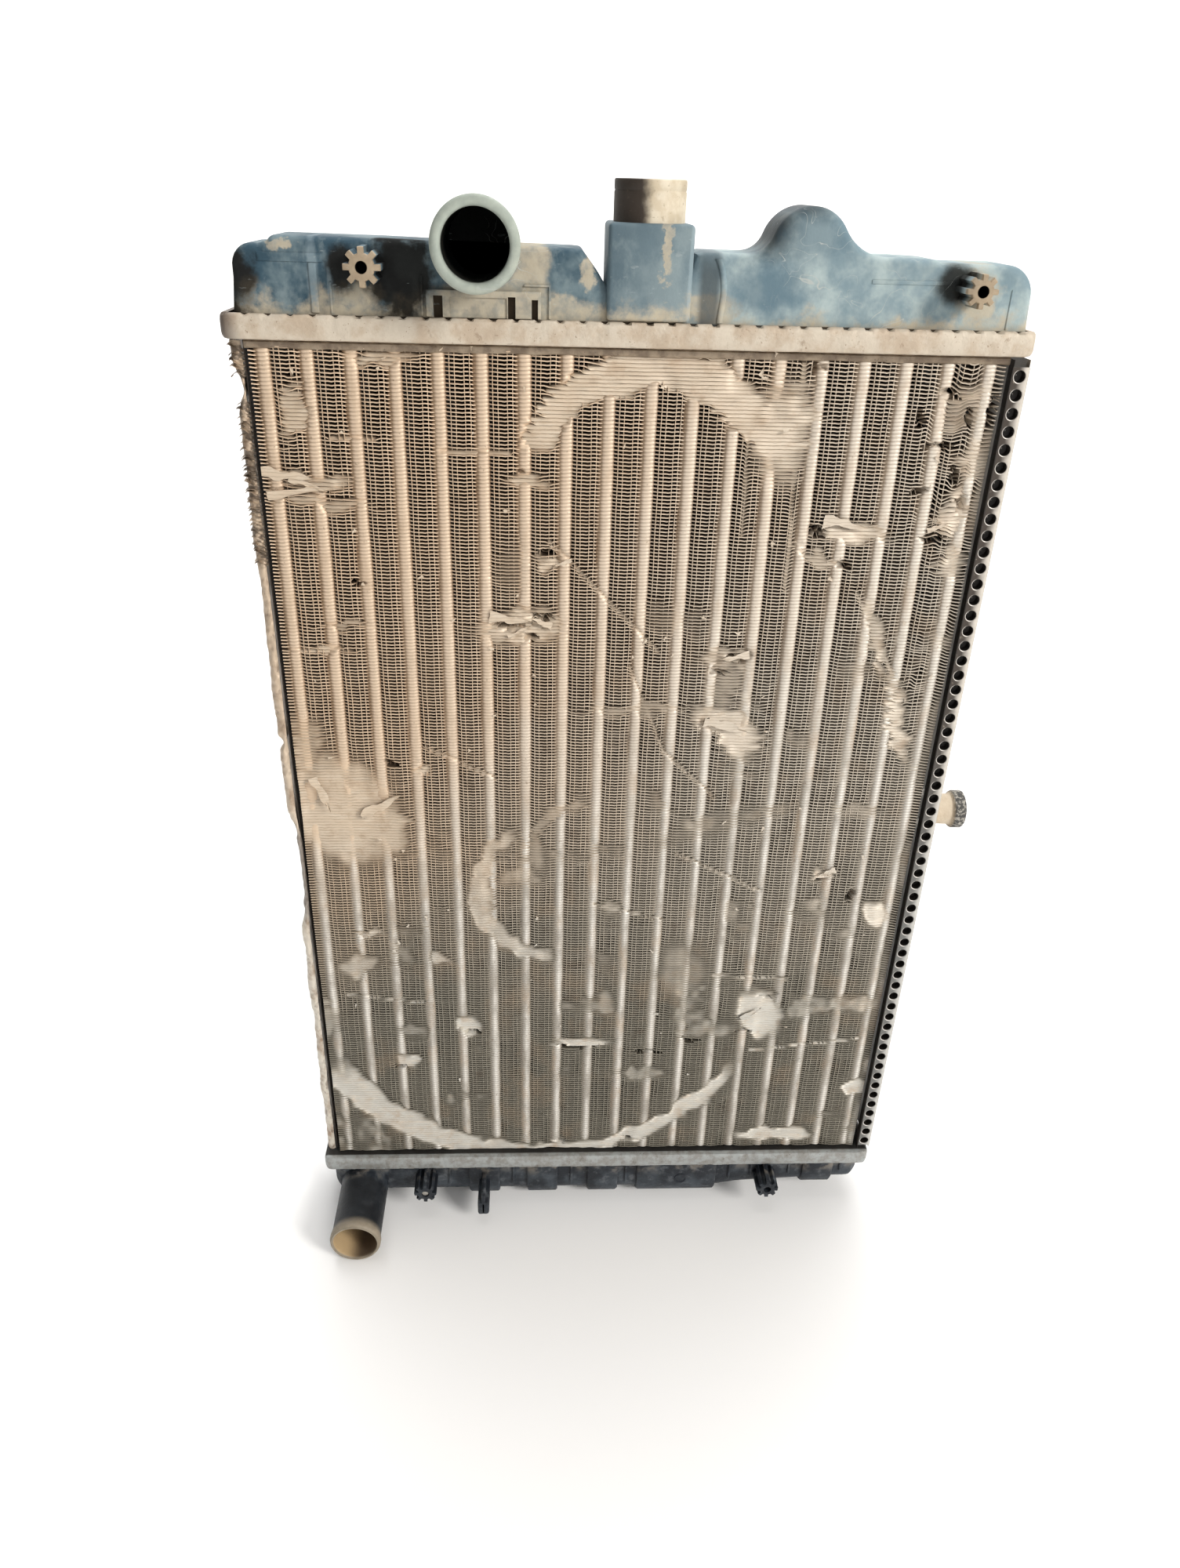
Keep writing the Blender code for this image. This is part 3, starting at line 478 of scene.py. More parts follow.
def spacer_tabs():
    """The thin upright lines of the fins' bent tabs between the tubes."""
    levels = np.arange(FIN_LOW[2] + 1, FIN_HIGH[2], 2 * FIN_PITCH)
    points, faces, spread = [], [], []
    for i in range(len(FRONT_X) - 1):
        for place in TAB_PLACES:
            centre = FRONT_X[i] + place * TUBE_PITCH
            bend = combed(centre + 0 * levels, levels)
            y = -FIN_HIGH[1] + 0.5 + 3.2 * bend + 7 * torn(centre + 0 * levels, levels)
            x = centre + 0.12 * np.sin(levels / 7 + i)
            faces.append(grid_faces(4, len(levels), base=len(points) * len(levels)))
            for dx, dy in ((-0.16, 1.4), (-0.16, 0), (0.16, 0), (0.16, 1.4)):
                points.append(np.stack((x + dx, y + dy, levels), -1))
                spread.append(bend)
    points, faces, spread = (np.concatenate(part) for part in (points, faces, spread))
    obj = add_object("spacer_tabs", points, faces, combed=spread)
    give(obj, FIN_METAL, "fin_aluminium", "fin_pack")


# Loose flaps of torn fin: place of the root, length, width and direction in degrees
FLAPS = (
    (-186, 528, 26, 6, -8), (-184, 516, 34, 5, 6), (-172, 525, 20, 3, -20), (-72, 452, 22, 5, -6),
    (-38, 447, 12, 4, 160), (-62, 440, 14, 3, 30), (50, 390, 26, 7, -14), (72, 431, 18, 4, 190),
    (160, 503, 12, 3, 20), (104, 507, 24, 5, -8), (-150, 326, 28, 6, 32), (-176, 352, 24, 6, -70),
    (-28, 484, 10, 3, 200), (140, 288, 12, 3, 200), (92, 168, 16, 4, 40),
)
CRUMBS = 70


def fin_flaps():
    """Torn flaps and small crumbs of fin that stand a little proud of the fin face."""
    draws = np.random.default_rng(19)
    flaps = list(FLAPS)
    for _ in range(CRUMBS):
        x, z = draws.uniform(-183, 183), 590 - 480 * draws.random() ** 1.5
        flaps.append((x, z, draws.uniform(1.4, 4.2), draws.uniform(0.8, 1.8), draws.uniform(0, 360)))
    along, across = np.meshgrid(np.linspace(0, 1, 12), np.linspace(-0.5, 0.5, 5), indexing="ij")
    points, faces = [], []
    for i, (x, z, length, width, turn) in enumerate(flaps):
        size = min(length / 10, 1)
        ragged = 0.35 + 1.3 * noise(along * 6, across * 4 + i, 55)
        w = width * across * (1.1 - along**1.5) * ragged
        u = length * along + 0.6 * size * (noise(across * 6, i, 56) - 0.5)
        lift = 0.3 + 1.1 * size * along * noise(along * 5 + i, across * 4, 57) + 0.9 * size * across**2
        c, d = cos(radians(turn)), sin(radians(turn))
        flap = np.stack((x + u * c - w * d, -FIN_HIGH[1] - lift, z + u * d + w * c), -1)
        points.append(flap.reshape(-1, 3))
        faces.append(grid_faces(12, 5, base=60 * i))
    points = np.concatenate(points)
    points[:, 0] = np.clip(points[:, 0], FIN_LOW[0] + EDGE_GAP, FIN_HIGH[0] - EDGE_GAP)
    obj = add_object("fin_flaps", points, np.concatenate(faces), 50, combed=np.ones(len(points)))
    give(obj, FIN_METAL, "fin_aluminium", "fin_pack")


def fin_rails():
    """The folded strip along the top of the fins."""
    xs = np.linspace(FIN_LOW[0], FIN_HIGH[0], 240)
    profile = [(-13.0, -0.4), (-16.2, -0.5), (-17.0, -1.2), (-17.0, -3.6), (-16.3, -4.2), (-13.0, -4.4)]
    rows = []
    for y, z in profile:
        wave = 0.35 * (noise(xs / 12, z, 51) - 0.5) + 0.3 * (noise(xs / 3, z * 2, 52) - 0.5)
        rows.append(np.stack((xs, np.maximum(y + wave, -17.0), CORE_TOP + z + wave * (z < -3)), -1))
    top = add_object("fin_top_strip", np.stack(rows), grid_faces(len(rows), len(xs)))
    give(top, DUSTY_METAL, "fin_aluminium", "fin_pack")


# Headers


def header_ring(half_length, half_depth, radius, steps=6):
    points = []
    for sx, sy, start in ((1, 1, 0), (-1, 1, 90), (-1, -1, 180), (1, -1, 270)):
        centre = (sx * (half_length - radius), sy * (half_depth - radius))
        points += arc(centre, radius, start, start + 90, steps)
    return points


def refine(points, longest):
    out = []
    for (x0, y0), (x1, y1) in zip(points, points[1:] + points[:1]):
        parts = max(1, int(np.hypot(x1 - x0, y1 - y0) / longest))
        out += [(x0 + (x1 - x0) * i / parts, y0 + (y1 - y0) * i / parts) for i in range(parts)]
    return out


CRIMP_PITCH = 10.6
HEADER_STEPS = 900  # points round a header


def header(name, node, base, direction, metal):
    """A tray header: a flat plate with a skirt whose lip is crimped in over the tank's foot."""
    low, high = corners(node)
    half_length, half_depth, height = high[0], high[1], high[2] - low[2]
    # (inset from the outside, height above the core)
    profile = [(9.0, 0.35), (7.6, 0.2), (5.6, 0.5), (4.2, 0.3), (2.4, 0.2), (1.0, 0.7), (0.25, 1.9)]
    profile += [(0.0, 3.4), (0.0, 6.0), (0.05, 8.6), (0.35, 10.6), (1.1, 11.6), (2.4, 11.9), (3.9, 11.7)]
    points = []
    for inset, rise in profile:
        outline = header_ring(half_length - inset, half_depth - inset, max(1.5, 6 - inset))
        x, y = resample(refine(outline, 1.1), HEADER_STEPS).T
        phase = np.abs(((x + 200) / CRIMP_PITCH) % 1 - 0.5)
        notch = (1 - ramp(phase, 0.12, 0.15)) * ramp(rise, 10.6, 11.3)
        notch = notch * (np.abs(y) > half_depth - 5.5)
        dent = 0.45 * (noise(x / 8, rise / 3 + (y > 0) * 9, 61) - 0.5)
        dent = dent + 0.35 * (noise(x / 2.6, rise, 62) - 0.5)
        out = np.where(np.abs(y) > half_depth - inset - 0.5, np.sign(y), 0)
        y = y - out * np.clip(0.3 + dent, 0, 1) * (rise > 1) * (inset < 3)
        z = np.minimum(rise + 0.25 * dent, height) - 1.15 * notch
        y = y - out * notch * 0.5
        points.append(np.stack((x, y, base + direction * np.clip(z, 0, height)), -1))
    faces = grid_faces(len(profile), HEADER_STEPS, wrap_columns=True)
    obj = face_out(add_object(name, np.stack(points), faces))
    give(obj, metal, "header_aluminium", node)


def resample(outline, count):
    """Evenly spaced points along a closed outline."""
    points = np.array(outline + outline[:1])
    steps = np.hypot(*np.diff(points, axis=0).T)
    along = np.concatenate(([0], np.cumsum(steps)))
    places = np.linspace(0, along[-1], count, endpoint=False)
    return np.stack([np.interp(places, along, points[:, i]) for i in (0, 1)], -1)


# Side plates


HOLE_PITCH = 8.9
HOLE_RADIUS = 2.95


def perforated_plate():
    """The right side plate: a channel with a row of round holes in its front flange."""
    inner, outer, front = PLATE_LOW[0], PLATE_HIGH[0], PLATE_LOW[1]
    low, high = CORE_BOTTOM + 1.2, CORE_TOP - 1.2
    sides = 24
    count = int((high - low) // HOLE_PITCH)
    middle = (inner + outer) / 2
    t = np.linspace(0, 2 * pi, sides, endpoint=False) + pi / 4
    square = 1 / np.maximum(np.abs(np.cos(t)), np.abs(np.sin(t)))
    # (radius past the hole's, depth behind the flange, strength of the painted highlight on the pressed
    # rim)
    cup = (
        (0.6, 0.0, 0.0), (0.3, 0.0, 0.5), (0.05, 0.2, 1.0), (0.0, 0.8, 0.3),
        (0.0, 1.6, 0.0), (-0.1, 5.0, 0.0), (-2.5, 5.2, 0.0),
    )
    points, faces, rim_highlights = [], [], []
    for i in range(count):
        z = (low + high) / 2 + (i - (count - 1) / 2) * HOLE_PITCH
        rim_x = middle + np.clip(square * np.cos(t), -1, 1) * (middle - inner)
        rim_z = z + np.clip(square * np.sin(t), -1, 1) * HOLE_PITCH / 2
        rings = [(rim_x, front + 0 * t, rim_z)]
        for extra, depth, _ in cup:
            r = HOLE_RADIUS + extra
            rings.append((middle + r * np.cos(t), front + depth + 0 * t, z + r * np.sin(t)))
        points.append(np.stack([np.stack(r, -1) for r in rings]).reshape(-1, 3))
        # The painted rim highlight is strongest on one side of each hole.
        lit = ramp(-np.cos(t - 0.4), -0.2, 0.6)
        rim_highlights.append(np.outer([0] + [bright for _, _, bright in cup], lit).ravel())
        faces.append(grid_faces(len(rings), sides, wrap_columns=True, base=i * len(rings) * sides))
    points, faces, rim_highlights = (np.concatenate(part) for part in (points, faces, rim_highlights))
    flange = add_object("right_plate_flange", points, faces, rim=rim_highlights)
    give(flange, PLATE_METAL, "plate_aluminium", "right_side_plate")
    zs = np.linspace(low, high, 200)
    # the flange's turned-in edge, then the outer rolled lip, the channel's web and its back flange
    outlines = {
        "right_plate_inner_edge": [
            (inner + 0.1, front + 6), (inner, front + 1),
            (inner + 0.1, front + 0.2), (inner + 0.4, front),
        ],
        "right_plate": [
            (2 * middle - inner - 0.4, front + 0.1), (outer - 0.5, front + 0.1),
            (outer - 0.1, front + 0.5), (outer, front + 1.4), (outer, 0), (outer, -front - 1),
            (outer - 0.6, -front), (inner, -front), (inner, -front - 1.1),
            (outer - 1.2, -front - 1.1), (outer - 1.2, front + 2.2),
        ],
    }
    for name, profile in outlines.items():
        rows = []
        for x, y in profile:
            wave = 0.16 * (noise(zs / 14, x, 71) - 0.5)
            rows.append(np.stack((np.clip(x + wave, inner, outer), np.maximum(y + wave, front), zs), -1))
        sheet = add_object(name, np.stack(rows), grid_faces(len(rows), len(zs)))
        give(sheet, PLATE_METAL, "plate_aluminium", "right_side_plate")


def torn_plate():
    """The left side plate: a crumpled strip with a ragged edge and fanned fin ends on its upper part."""
    outer, inner = LEFT_LOW[0] + 0.8, LEFT_HIGH[0]
    face = LEFT_LOW[1] + 4  # the crushed strip lies behind the whole plate's front
    zs = np.arange(CORE_BOTTOM + 1, CORE_TOP - 1, 0.9)
    us = np.linspace(0, 1, 9)
    z, u = np.meshgrid(zs, us, indexing="ij")
    ragged = 2.0 * noise(z / 13, 0, 81) + 0.5 * noise(z / 4.5, 0, 82) + 1.6 * ramp(
        noise(z / 31, 0, 83), 0.5, 0.9
    )
    torn_off = np.exp(-(((z - 284) / 34) ** 6))
    notch = torn_off * (3.4 + 3.2 * noise(z / 9, 0, 84))
    notch = notch + 4.0 * np.exp(-(((z - 566) / 7) ** 2)) + 2.5 * np.exp(-(((z - 372) / 3) ** 2))
    edge = np.minimum(outer + ragged * 0.6 + notch, inner - 3)
    x = edge + (inner - 1.6 + 1.5 * torn_off - edge) * u
    crumple = noise(x / 4, z / 7, 85) + 0.6 * noise(x / 2, z / 2.2, 86)
    y = face + 0.1 + 2.6 * (crumple - 0.3) * (1 - 0.3 * u) + 3.2 * (1 - u) ** 3 + 1.5 * u**4
    y = np.maximum(y, face)
    front = np.stack((x, y, z), -1)
    turned = []
    for step, depth in ((0.0, 1.2), (0.3, 4.0), (0.5, 9.0), (0.5, 20.0), (0.4, 30.0)):
        turned.append(np.stack((edge[:, 0] + step, y[:, 0] + depth, zs), -1))
    turned = np.stack(turned[::-1], 1)
    turned[..., 1] = np.minimum(turned[..., 1], LEFT_HIGH[1])
    strip = np.concatenate((turned, front), 1)
    obj = add_object("left_plate", strip, grid_faces(*strip.shape[:2]), 60)
    give(obj, TORN_METAL, "plate_aluminium", "left_side_plate")
    # fanned fin ends, a leaf to each fin, over the upper part
    draws = np.random.default_rng(9)
    points, faces, base = [], [], 0
    for level in np.arange(478, 586, 2.3):
        if 560 < level < 571:
            continue
        reach = 8.4 + 0.35 * draws.normal() + 1.1 * sin(level / 9)
        fold = 0.35 + 0.45 * draws.random()
        rise = 3.4 + 2.0 * draws.random() + 1.5 * sin(level / 17)
        for v in np.linspace(0, 1, 7):
            bend_z = level + rise * (v if v < fold else fold - 0.8 * (v - fold))
            px = inner - 0.6 - reach * v
            py = face + 0.4 + 1.3 * draws.random() * v
            for w in (0.0, 0.5, 1.0):
                pz = bend_z + 0.5 * w - 0.2 * sin(3 * v)
                points.append((max(px, outer + 0.2), min(py + 5.0 * w, 8), pz))
        faces.append(grid_faces(7, 3, base=base))
        base += 21
    leaves = add_object("left_fin_ends", points, np.concatenate(faces), 60)
    give(leaves, TORN_METAL, "plate_aluminium", "left_side_plate")
    # the inner channel wall beside the fins, painted near-black as the shade in the channel
    wall = block((inner - 0.9, face + 3.5, CORE_BOTTOM + 1), (inner - 0.3, LEFT_HIGH[1], CORE_TOP - 1), 0)
    wall.name = "left_channel_wall"
    give(wall, CHANNEL_SHADE_METAL, "plate_aluminium", "left_side_plate")


# Tanks

INLET = (-74, 634.5)
INLET_Y = -52
OUTLET = (-169.5, 17.4)
OUTLET_Y = -71
TOP_BOSSES = ((-126, 33.5), (160, 30))
BOTTOM_BOSSES = ((-124.5, 22.5), (121.5, 22.5))
TANK_HALF_DEPTH = 18.5
TANK_FRONT = -TANK_HALF_DEPTH
TANK_END = 190.5
SLOTS = ((-95.6, -91.2), (-60.6, -57.0), (-49.4, -46.4))  # in the panel under the inlet
DOME = (81.5, 44.0)
DOME_RADIUS = 19.0
DOME_FILLETS = (12.0, 24.0)  # left and right
TOWER = (6.0, -2.3)
TOWER_HALF = 20.0
TOWER_TOP = CORE_TOP + 54
SILL_RISE = 12.1  # the header's lip covers the tank up to here
TANK_SILL = CORE_TOP + SILL_RISE
# Edges that stand out of the tank's front wall: left, right, how far out, foot and head above the core,
# rounding. The first three frame the panel under the inlet.
RAISED_EDGES = (
    (-53, -40.4, 1.0, 26, 27, 0.3), (-41.4, -40.4, 1.0, SILL_RISE, 26.6, 0.3),
    (-101.6, -100.4, 1.2, SILL_RISE, 30, 0.4), (-153, -149, 1.0, SILL_RISE, 34, 0.9, 3),
    (-144, -142.6, 0.7, SILL_RISE, 26, 0.5), (-176, -146, 0.6, 34, 38, 0.5),
    (180.2, 181.2, 0.5, SILL_RISE, 30, 0.4), (112, 152, 0.5, 31, 33, 0.4),
)


def top_outline(inset):
    """The top tank from the front, drawn in by inset, with no edge below the header's lip."""
    floor = CORE_TOP + 8
    end = TANK_END - inset
    right_end = end + 1.7
    left_top, middle_top, right_top = (CORE_TOP + h - inset for h in (45, 42.5, 40.5))
    dome, radius = (DOME[0], CORE_TOP + DOME[1]), DOME_RADIUS - inset
    feet = []
    for fillet in (DOME_FILLETS[0] + inset, DOME_FILLETS[1] + inset):
        rise = middle_top + fillet - dome[1]
        reach = sqrt((radius + fillet) ** 2 - rise**2)
        feet.append((fillet, reach, degrees(atan2(rise, reach))))
    (fillet, reach, lean), (right_fillet, right_reach, right_lean) = feet
    points = [(-end, floor), (-end + 2, left_top - 18)]
    points += arc((-end + 12, left_top - 13.5), 10, 172, 75, 8)
    points += [(-174 + inset * 0.3, left_top - 3.2), (-172.5, left_top - 2.6)]
    points += arc((-167, left_top - 5), 5, 150, 88, 4)
    points += [(-120, left_top - 0.4), (-96, left_top - 1)]
    points += [(-60, left_top - 1.8), (-30 - inset / 2, middle_top + 0.2)]
    points += arc((-27.5 - inset / 2, middle_top - 3), 3, 80, 25, 4)
    points += [(-18 - inset, middle_top - 10), (-14 - inset, middle_top - 16)]
    points += [(10, middle_top - 16), (26.5 + inset, middle_top - 6)]
    points += [(28 + inset, middle_top - 1), (31 + inset, middle_top)]
    points += arc((DOME[0] - reach, middle_top + fillet), fillet, -90, -lean, 8)
    points += arc(dome, radius, 180 - lean, right_lean, 24)[1:-1]
    points += arc(
        (DOME[0] + right_reach, middle_top + right_fillet), right_fillet, 180 + right_lean, 270, 10
    )
    points += [(124, middle_top + 0.1), (142, right_top + 1.4), (145.5, right_top)]
    points += arc((right_end - 15, right_top - 14), 14, 88, 8, 10)
    points += [(right_end, floor)]
    return points[::-1]


def star_boss(x, z, end_y, root_y, size=1.0):
    """A ribbed screw boss: eight lobes round a drilled core, with a shallow ring by the hole."""
    outline = []
    for i in range(8):
        lobe = i * 45
        outline += arc((x, z), 9 * size, lobe - 9, lobe + 9, 4)
        outline += arc((x, z), 6.2 * size, lobe + 45 / 2 - 9, lobe + 45 / 2 + 9, 3)
    rows = []
    for inset, y in ((0.9, end_y), (0.3, end_y + 0.25), (0.0, end_y + 0.9), (-0.1, root_y)):
        scale = 1 - inset / 9
        rows.append([(x + (u - x) * scale, y, z + (v - z) * scale) for u, v in outline])
    boss = loft(rows)
    subtract(boss, drum((x, 0, z), "Y", 2.7, end_y - 2, end_y + 11, 28))
    profile = [(4.3, end_y + 0.3), (4.2, end_y), (3.3, end_y + 0.05), (2.75, end_y + 0.5)]
    rim = lathe((x, 0, z), "Y", profile, 40)
    return merge("boss", boss, rim)


def hose_neck(centre, outer, bead, bore, end_y, bead_length, root_y, inner_y, back_y, flare=0.0):
    """An open neck: its rounded back end, outside, rolled bead, thick rim and closed bore."""
    (x, z), y = centre, end_y
    profile = [(outer * sin(t), back_y - 10 * (1 - cos(t))) for t in np.linspace(0.02, pi / 2, 8)]
    profile += [(outer + flare, root_y), (outer + flare * 0.5, root_y - 4), (outer, root_y - 9)]
    foot = y + bead_length
    profile += [(outer, foot + 2.4), (outer + 0.2, foot + 1.6), (bead - 0.5, foot), (bead, foot - 1.2)]
    profile += [(bead, y + 2.2), (bead - 0.35, y + 1.1), (bead - 1.1, y + 0.35), (bead - 2.2, y)]
    profile += [(bore + 1.6, y), (bore + 0.7, y + 0.4), (bore + 0.15, y + 1.3), (bore, y + 3)]
    profile += [(bore, (y + inner_y) / 2), (bore - 0.3, inner_y)]
    return lathe((x, 0, z), "Y", profile, 96, caps=(False, True))


def top_tank():
    body = rounded_slab(top_outline, TANK_FRONT, TANK_HALF_DEPTH, 4, 5)
    left, right = TOWER[0] - TOWER_HALF, TOWER[0] + TOWER_HALF
    near, far = TOWER[1] - TOWER_HALF, TOWER[1] + TOWER_HALF
    tower = block((left, near, TANK_SILL), (right, far, TOWER_TOP), 2.2, 4)
    subtract(tower, drum((*TOWER, 0), "Z", 14.2, TOWER_TOP - 30, TOWER_TOP + 3))
    subtract(body, drum((INLET[0], 0, INLET[1]), "Y", 15.3, -40, 2))
    subtract(body, drum((*TOWER, 0), "Z", 14.3, CORE_TOP + 20, CORE_TOP + 60))
    parts = [body, tower, hose_neck(INLET, 18, 20, 15.2, INLET_Y, 5, TANK_FRONT + 3, 2, 15, 0.8)]
    for (x, height), size in zip(TOP_BOSSES, (0.95, 0.84)):
        parts.append(star_boss(x, CORE_TOP + height, -36, TANK_FRONT + 1.5, size))
    # a raised panel under the inlet with a shallow field and deep slots
    panel = block((-99, TANK_FRONT - 3, TANK_SILL), (-45, TANK_FRONT + 1, CORE_TOP + 24), 0.5)
    cuts = [(*slot, high, 3.2) for slot, high in zip(SLOTS, (21.5, 21.5, 20.5))]
    for left, right, high, depth in cuts[:1] + [(-88, -61, 21, 0.9)] + cuts[1:]:
        low = (left, TANK_FRONT - 5, TANK_SILL - 1)
        subtract(panel, block(low, (right, TANK_FRONT - 3 + depth, CORE_TOP + high), 0))
    parts.append(panel)
    for left, right, stands, low, high, *rounding in RAISED_EDGES:
        low, high = (left, TANK_FRONT - stands, CORE_TOP + low), (right, TANK_FRONT + 1, CORE_TOP + high)
        parts.append(block(low, high, *rounding))
    # the rounded seam to the right of the tower
    seam = []
    for u in np.linspace(0, 1, 14):
        z = TANK_SILL + u * (CORE_TOP + 40 - TANK_SILL)
        x = 40.5 + 1.2 * sin(pi * u) ** 2 - 2.5 * u**6
        turns = np.linspace(-0.3, pi + 0.3, 9)
        seam.append([(x + 1.6 * cos(t), TANK_FRONT - 1.1 * sin(t) + 0.2, z) for t in turns])
    parts.append(add_object("seam", seam, grid_faces(len(seam), 9)))
    tank = merge("top_tank_shell", *parts)
    give(tank, TANK_PLASTIC, "tank_plastic", "top_tank")


def filler_neck():
    low, high = NECK_LOW[2], NECK_HIGH[2]
    profile = [(17, low), (17, high - 5.4), (16.75, high - 5.1), (16.75, high - 4.6), (17, high - 4.3)]
    profile += [(17, high - 0.9), (16.8, high - 0.3), (16.3, high), (14.8, high), (14.2, high - 0.4)]
    profile += [(14, high - 1.2), (14, low - 2)]
    neck = lathe((*TOWER, 0), "Z", profile, 96)
    neck.name = "filler_sleeve"
    give(neck, FILLER_PLASTIC, "filler_plastic", "filler_neck")


def bottom_section(inset, ceiling, steps=7):
    half, low = TANK_HALF_DEPTH - inset, CORE_BOTTOM - 44 + inset
    radius = 14 - inset
    points = [(half, ceiling)]
    points += arc((half - radius, low + radius), radius, 0, -90, steps)
    points += arc((-half + radius, low + radius), radius, -90, -180, steps)
    return points + [(-half, ceiling)]


def bottom_floor(x):
    """How far the bottom tank's underside stands above its lowest level, along its length."""
    rise = np.interp(x, [-200, 86, 104, 148, 176, 200], [0, 0, 4, 7, 9, 9])
    for end, side in ((-TANK_END, 1), (TANK_END, -1)):
        far = np.clip(8 - side * (x - end), 0, 8)
        rise = rise + 8 - np.sqrt(np.maximum(64 - far * far, 0))
    return rise


def bottom_tank():
    ceiling = CORE_BOTTOM - 8
    edge = [-TANK_END + 8 * (1 - cos(t)) for t in np.linspace(0, pi / 2, 8)]
    xs = edge + list(np.linspace(-TANK_END + 8, TANK_END - 8, 60))[1:-1] + [-x for x in reversed(edge)]
    rows = []
    for x in xs:
        rise = min(float(bottom_floor(x)), 18)
        pull = max(0.0, abs(x) - (TANK_END - 4)) * 0.8
        section = bottom_section(pull, ceiling)
        scale = (ceiling - (3 + rise)) / (ceiling - 3)
        rows.append([(x, y, ceiling - (ceiling - z) * scale) for y, z in section])
    body = loft(rows)
    subtract(body, drum((OUTLET[0], 0, OUTLET[1]), "Y", 14.7, -40, -9))
    parts = [body]
    for left, right, rise in ((-94, -72, 0), (-52, -30, 0), (-8, 14, 0), (28, 86, 0), (150, 172, 7)):
        section = [(y, z + rise) for y, z in bottom_section(-3, CORE_BOTTOM - 12.3 - rise)]
        inner = [(y * 0.96, z + 0.8) for y, z in section]
        rows = [[(left, y, z) for y, z in inner], [(left + 1.2, y, z) for y, z in section]]
        rows += [[(right - 1.2, y, z) for y, z in section], [(right, y, z) for y, z in inner]]
        parts.append(loft(rows))
    for x in (-108, -62, -20, 20, 96, 112, 140, 178):
        rise = float(bottom_floor(x))
        low, high = (x - 0.8, TANK_FRONT - 1.4, 16 + rise), (x + 0.8, -15, CORE_BOTTOM - 12.2)
        parts.append(block(low, high, 0.5))
    parts.append(lathe((60, 0, 21), "Y", [(4.6, -21), (4.4, -21.9), (3.7, -21.9), (3.5, -21.2)], 40))
    parts.append(block((-87, -43, 11), (-79, -17, 23), 1.5))
    parts.append(block((-84.5, -43, 12), (-81.5, -17, 30), 1.0))
    for x, depth in BOTTOM_BOSSES:
        parts.append(star_boss(x, CORE_BOTTOM - depth, -36, TANK_FRONT + 1.5, 0.88))
    parts.append(hose_neck(OUTLET, 16.6, 17.3, 14.6, OUTLET_Y, 6, TANK_FRONT + 6, -9, 2, 0.7))
    tank = merge("bottom_tank_shell", *parts)
    give(tank, LOWER_PLASTIC, "tank_plastic", "bottom_tank")


def pin_and_bush():
    z = (PIN_LOW[2] + PIN_HIGH[2]) / 2
    base = PIN_LOW[0]
    profile = [(14, base), (14, base + 1.2), (13.4, base + 1.6), (10, base + 2.0), (8.2, base + 3.2)]
    profile += [(7.2, base + 6), (6.7, base + 10), (6.6, BUSH_LOW[0] + 2), (6.4, BUSH_LOW[0] + 3)]
    pin = lathe((0, 0, z), "X", profile, 64, ragged=0.03)
    pin.name = "pin_body"
    give(pin, PIN_METAL, "pin_steel", "mount_pin")
    low, high = BUSH_LOW[0], BUSH_HIGH[0]
    profile = [(6.4, low), (8.6, low + 0.1), (9.3, low + 0.8), (9.5, high - 8.2), (10.2, high - 7.6)]
    profile += [(11.2, high - 7.2), (11.7, high - 6.3), (11.7, high - 1.4), (11.3, high - 0.4)]
    profile += [(10.4, high), (6.2, high), (5.4, high - 0.5), (0.2, high - 0.6)]
    bush = lathe((0, 0, z), "X", profile, 72, ragged=0.035, seed=3)
    bush.name = "bush_body"
    give(bush, BUSH_RUBBER, "bush_rubber", "pin_bush")


# Materials


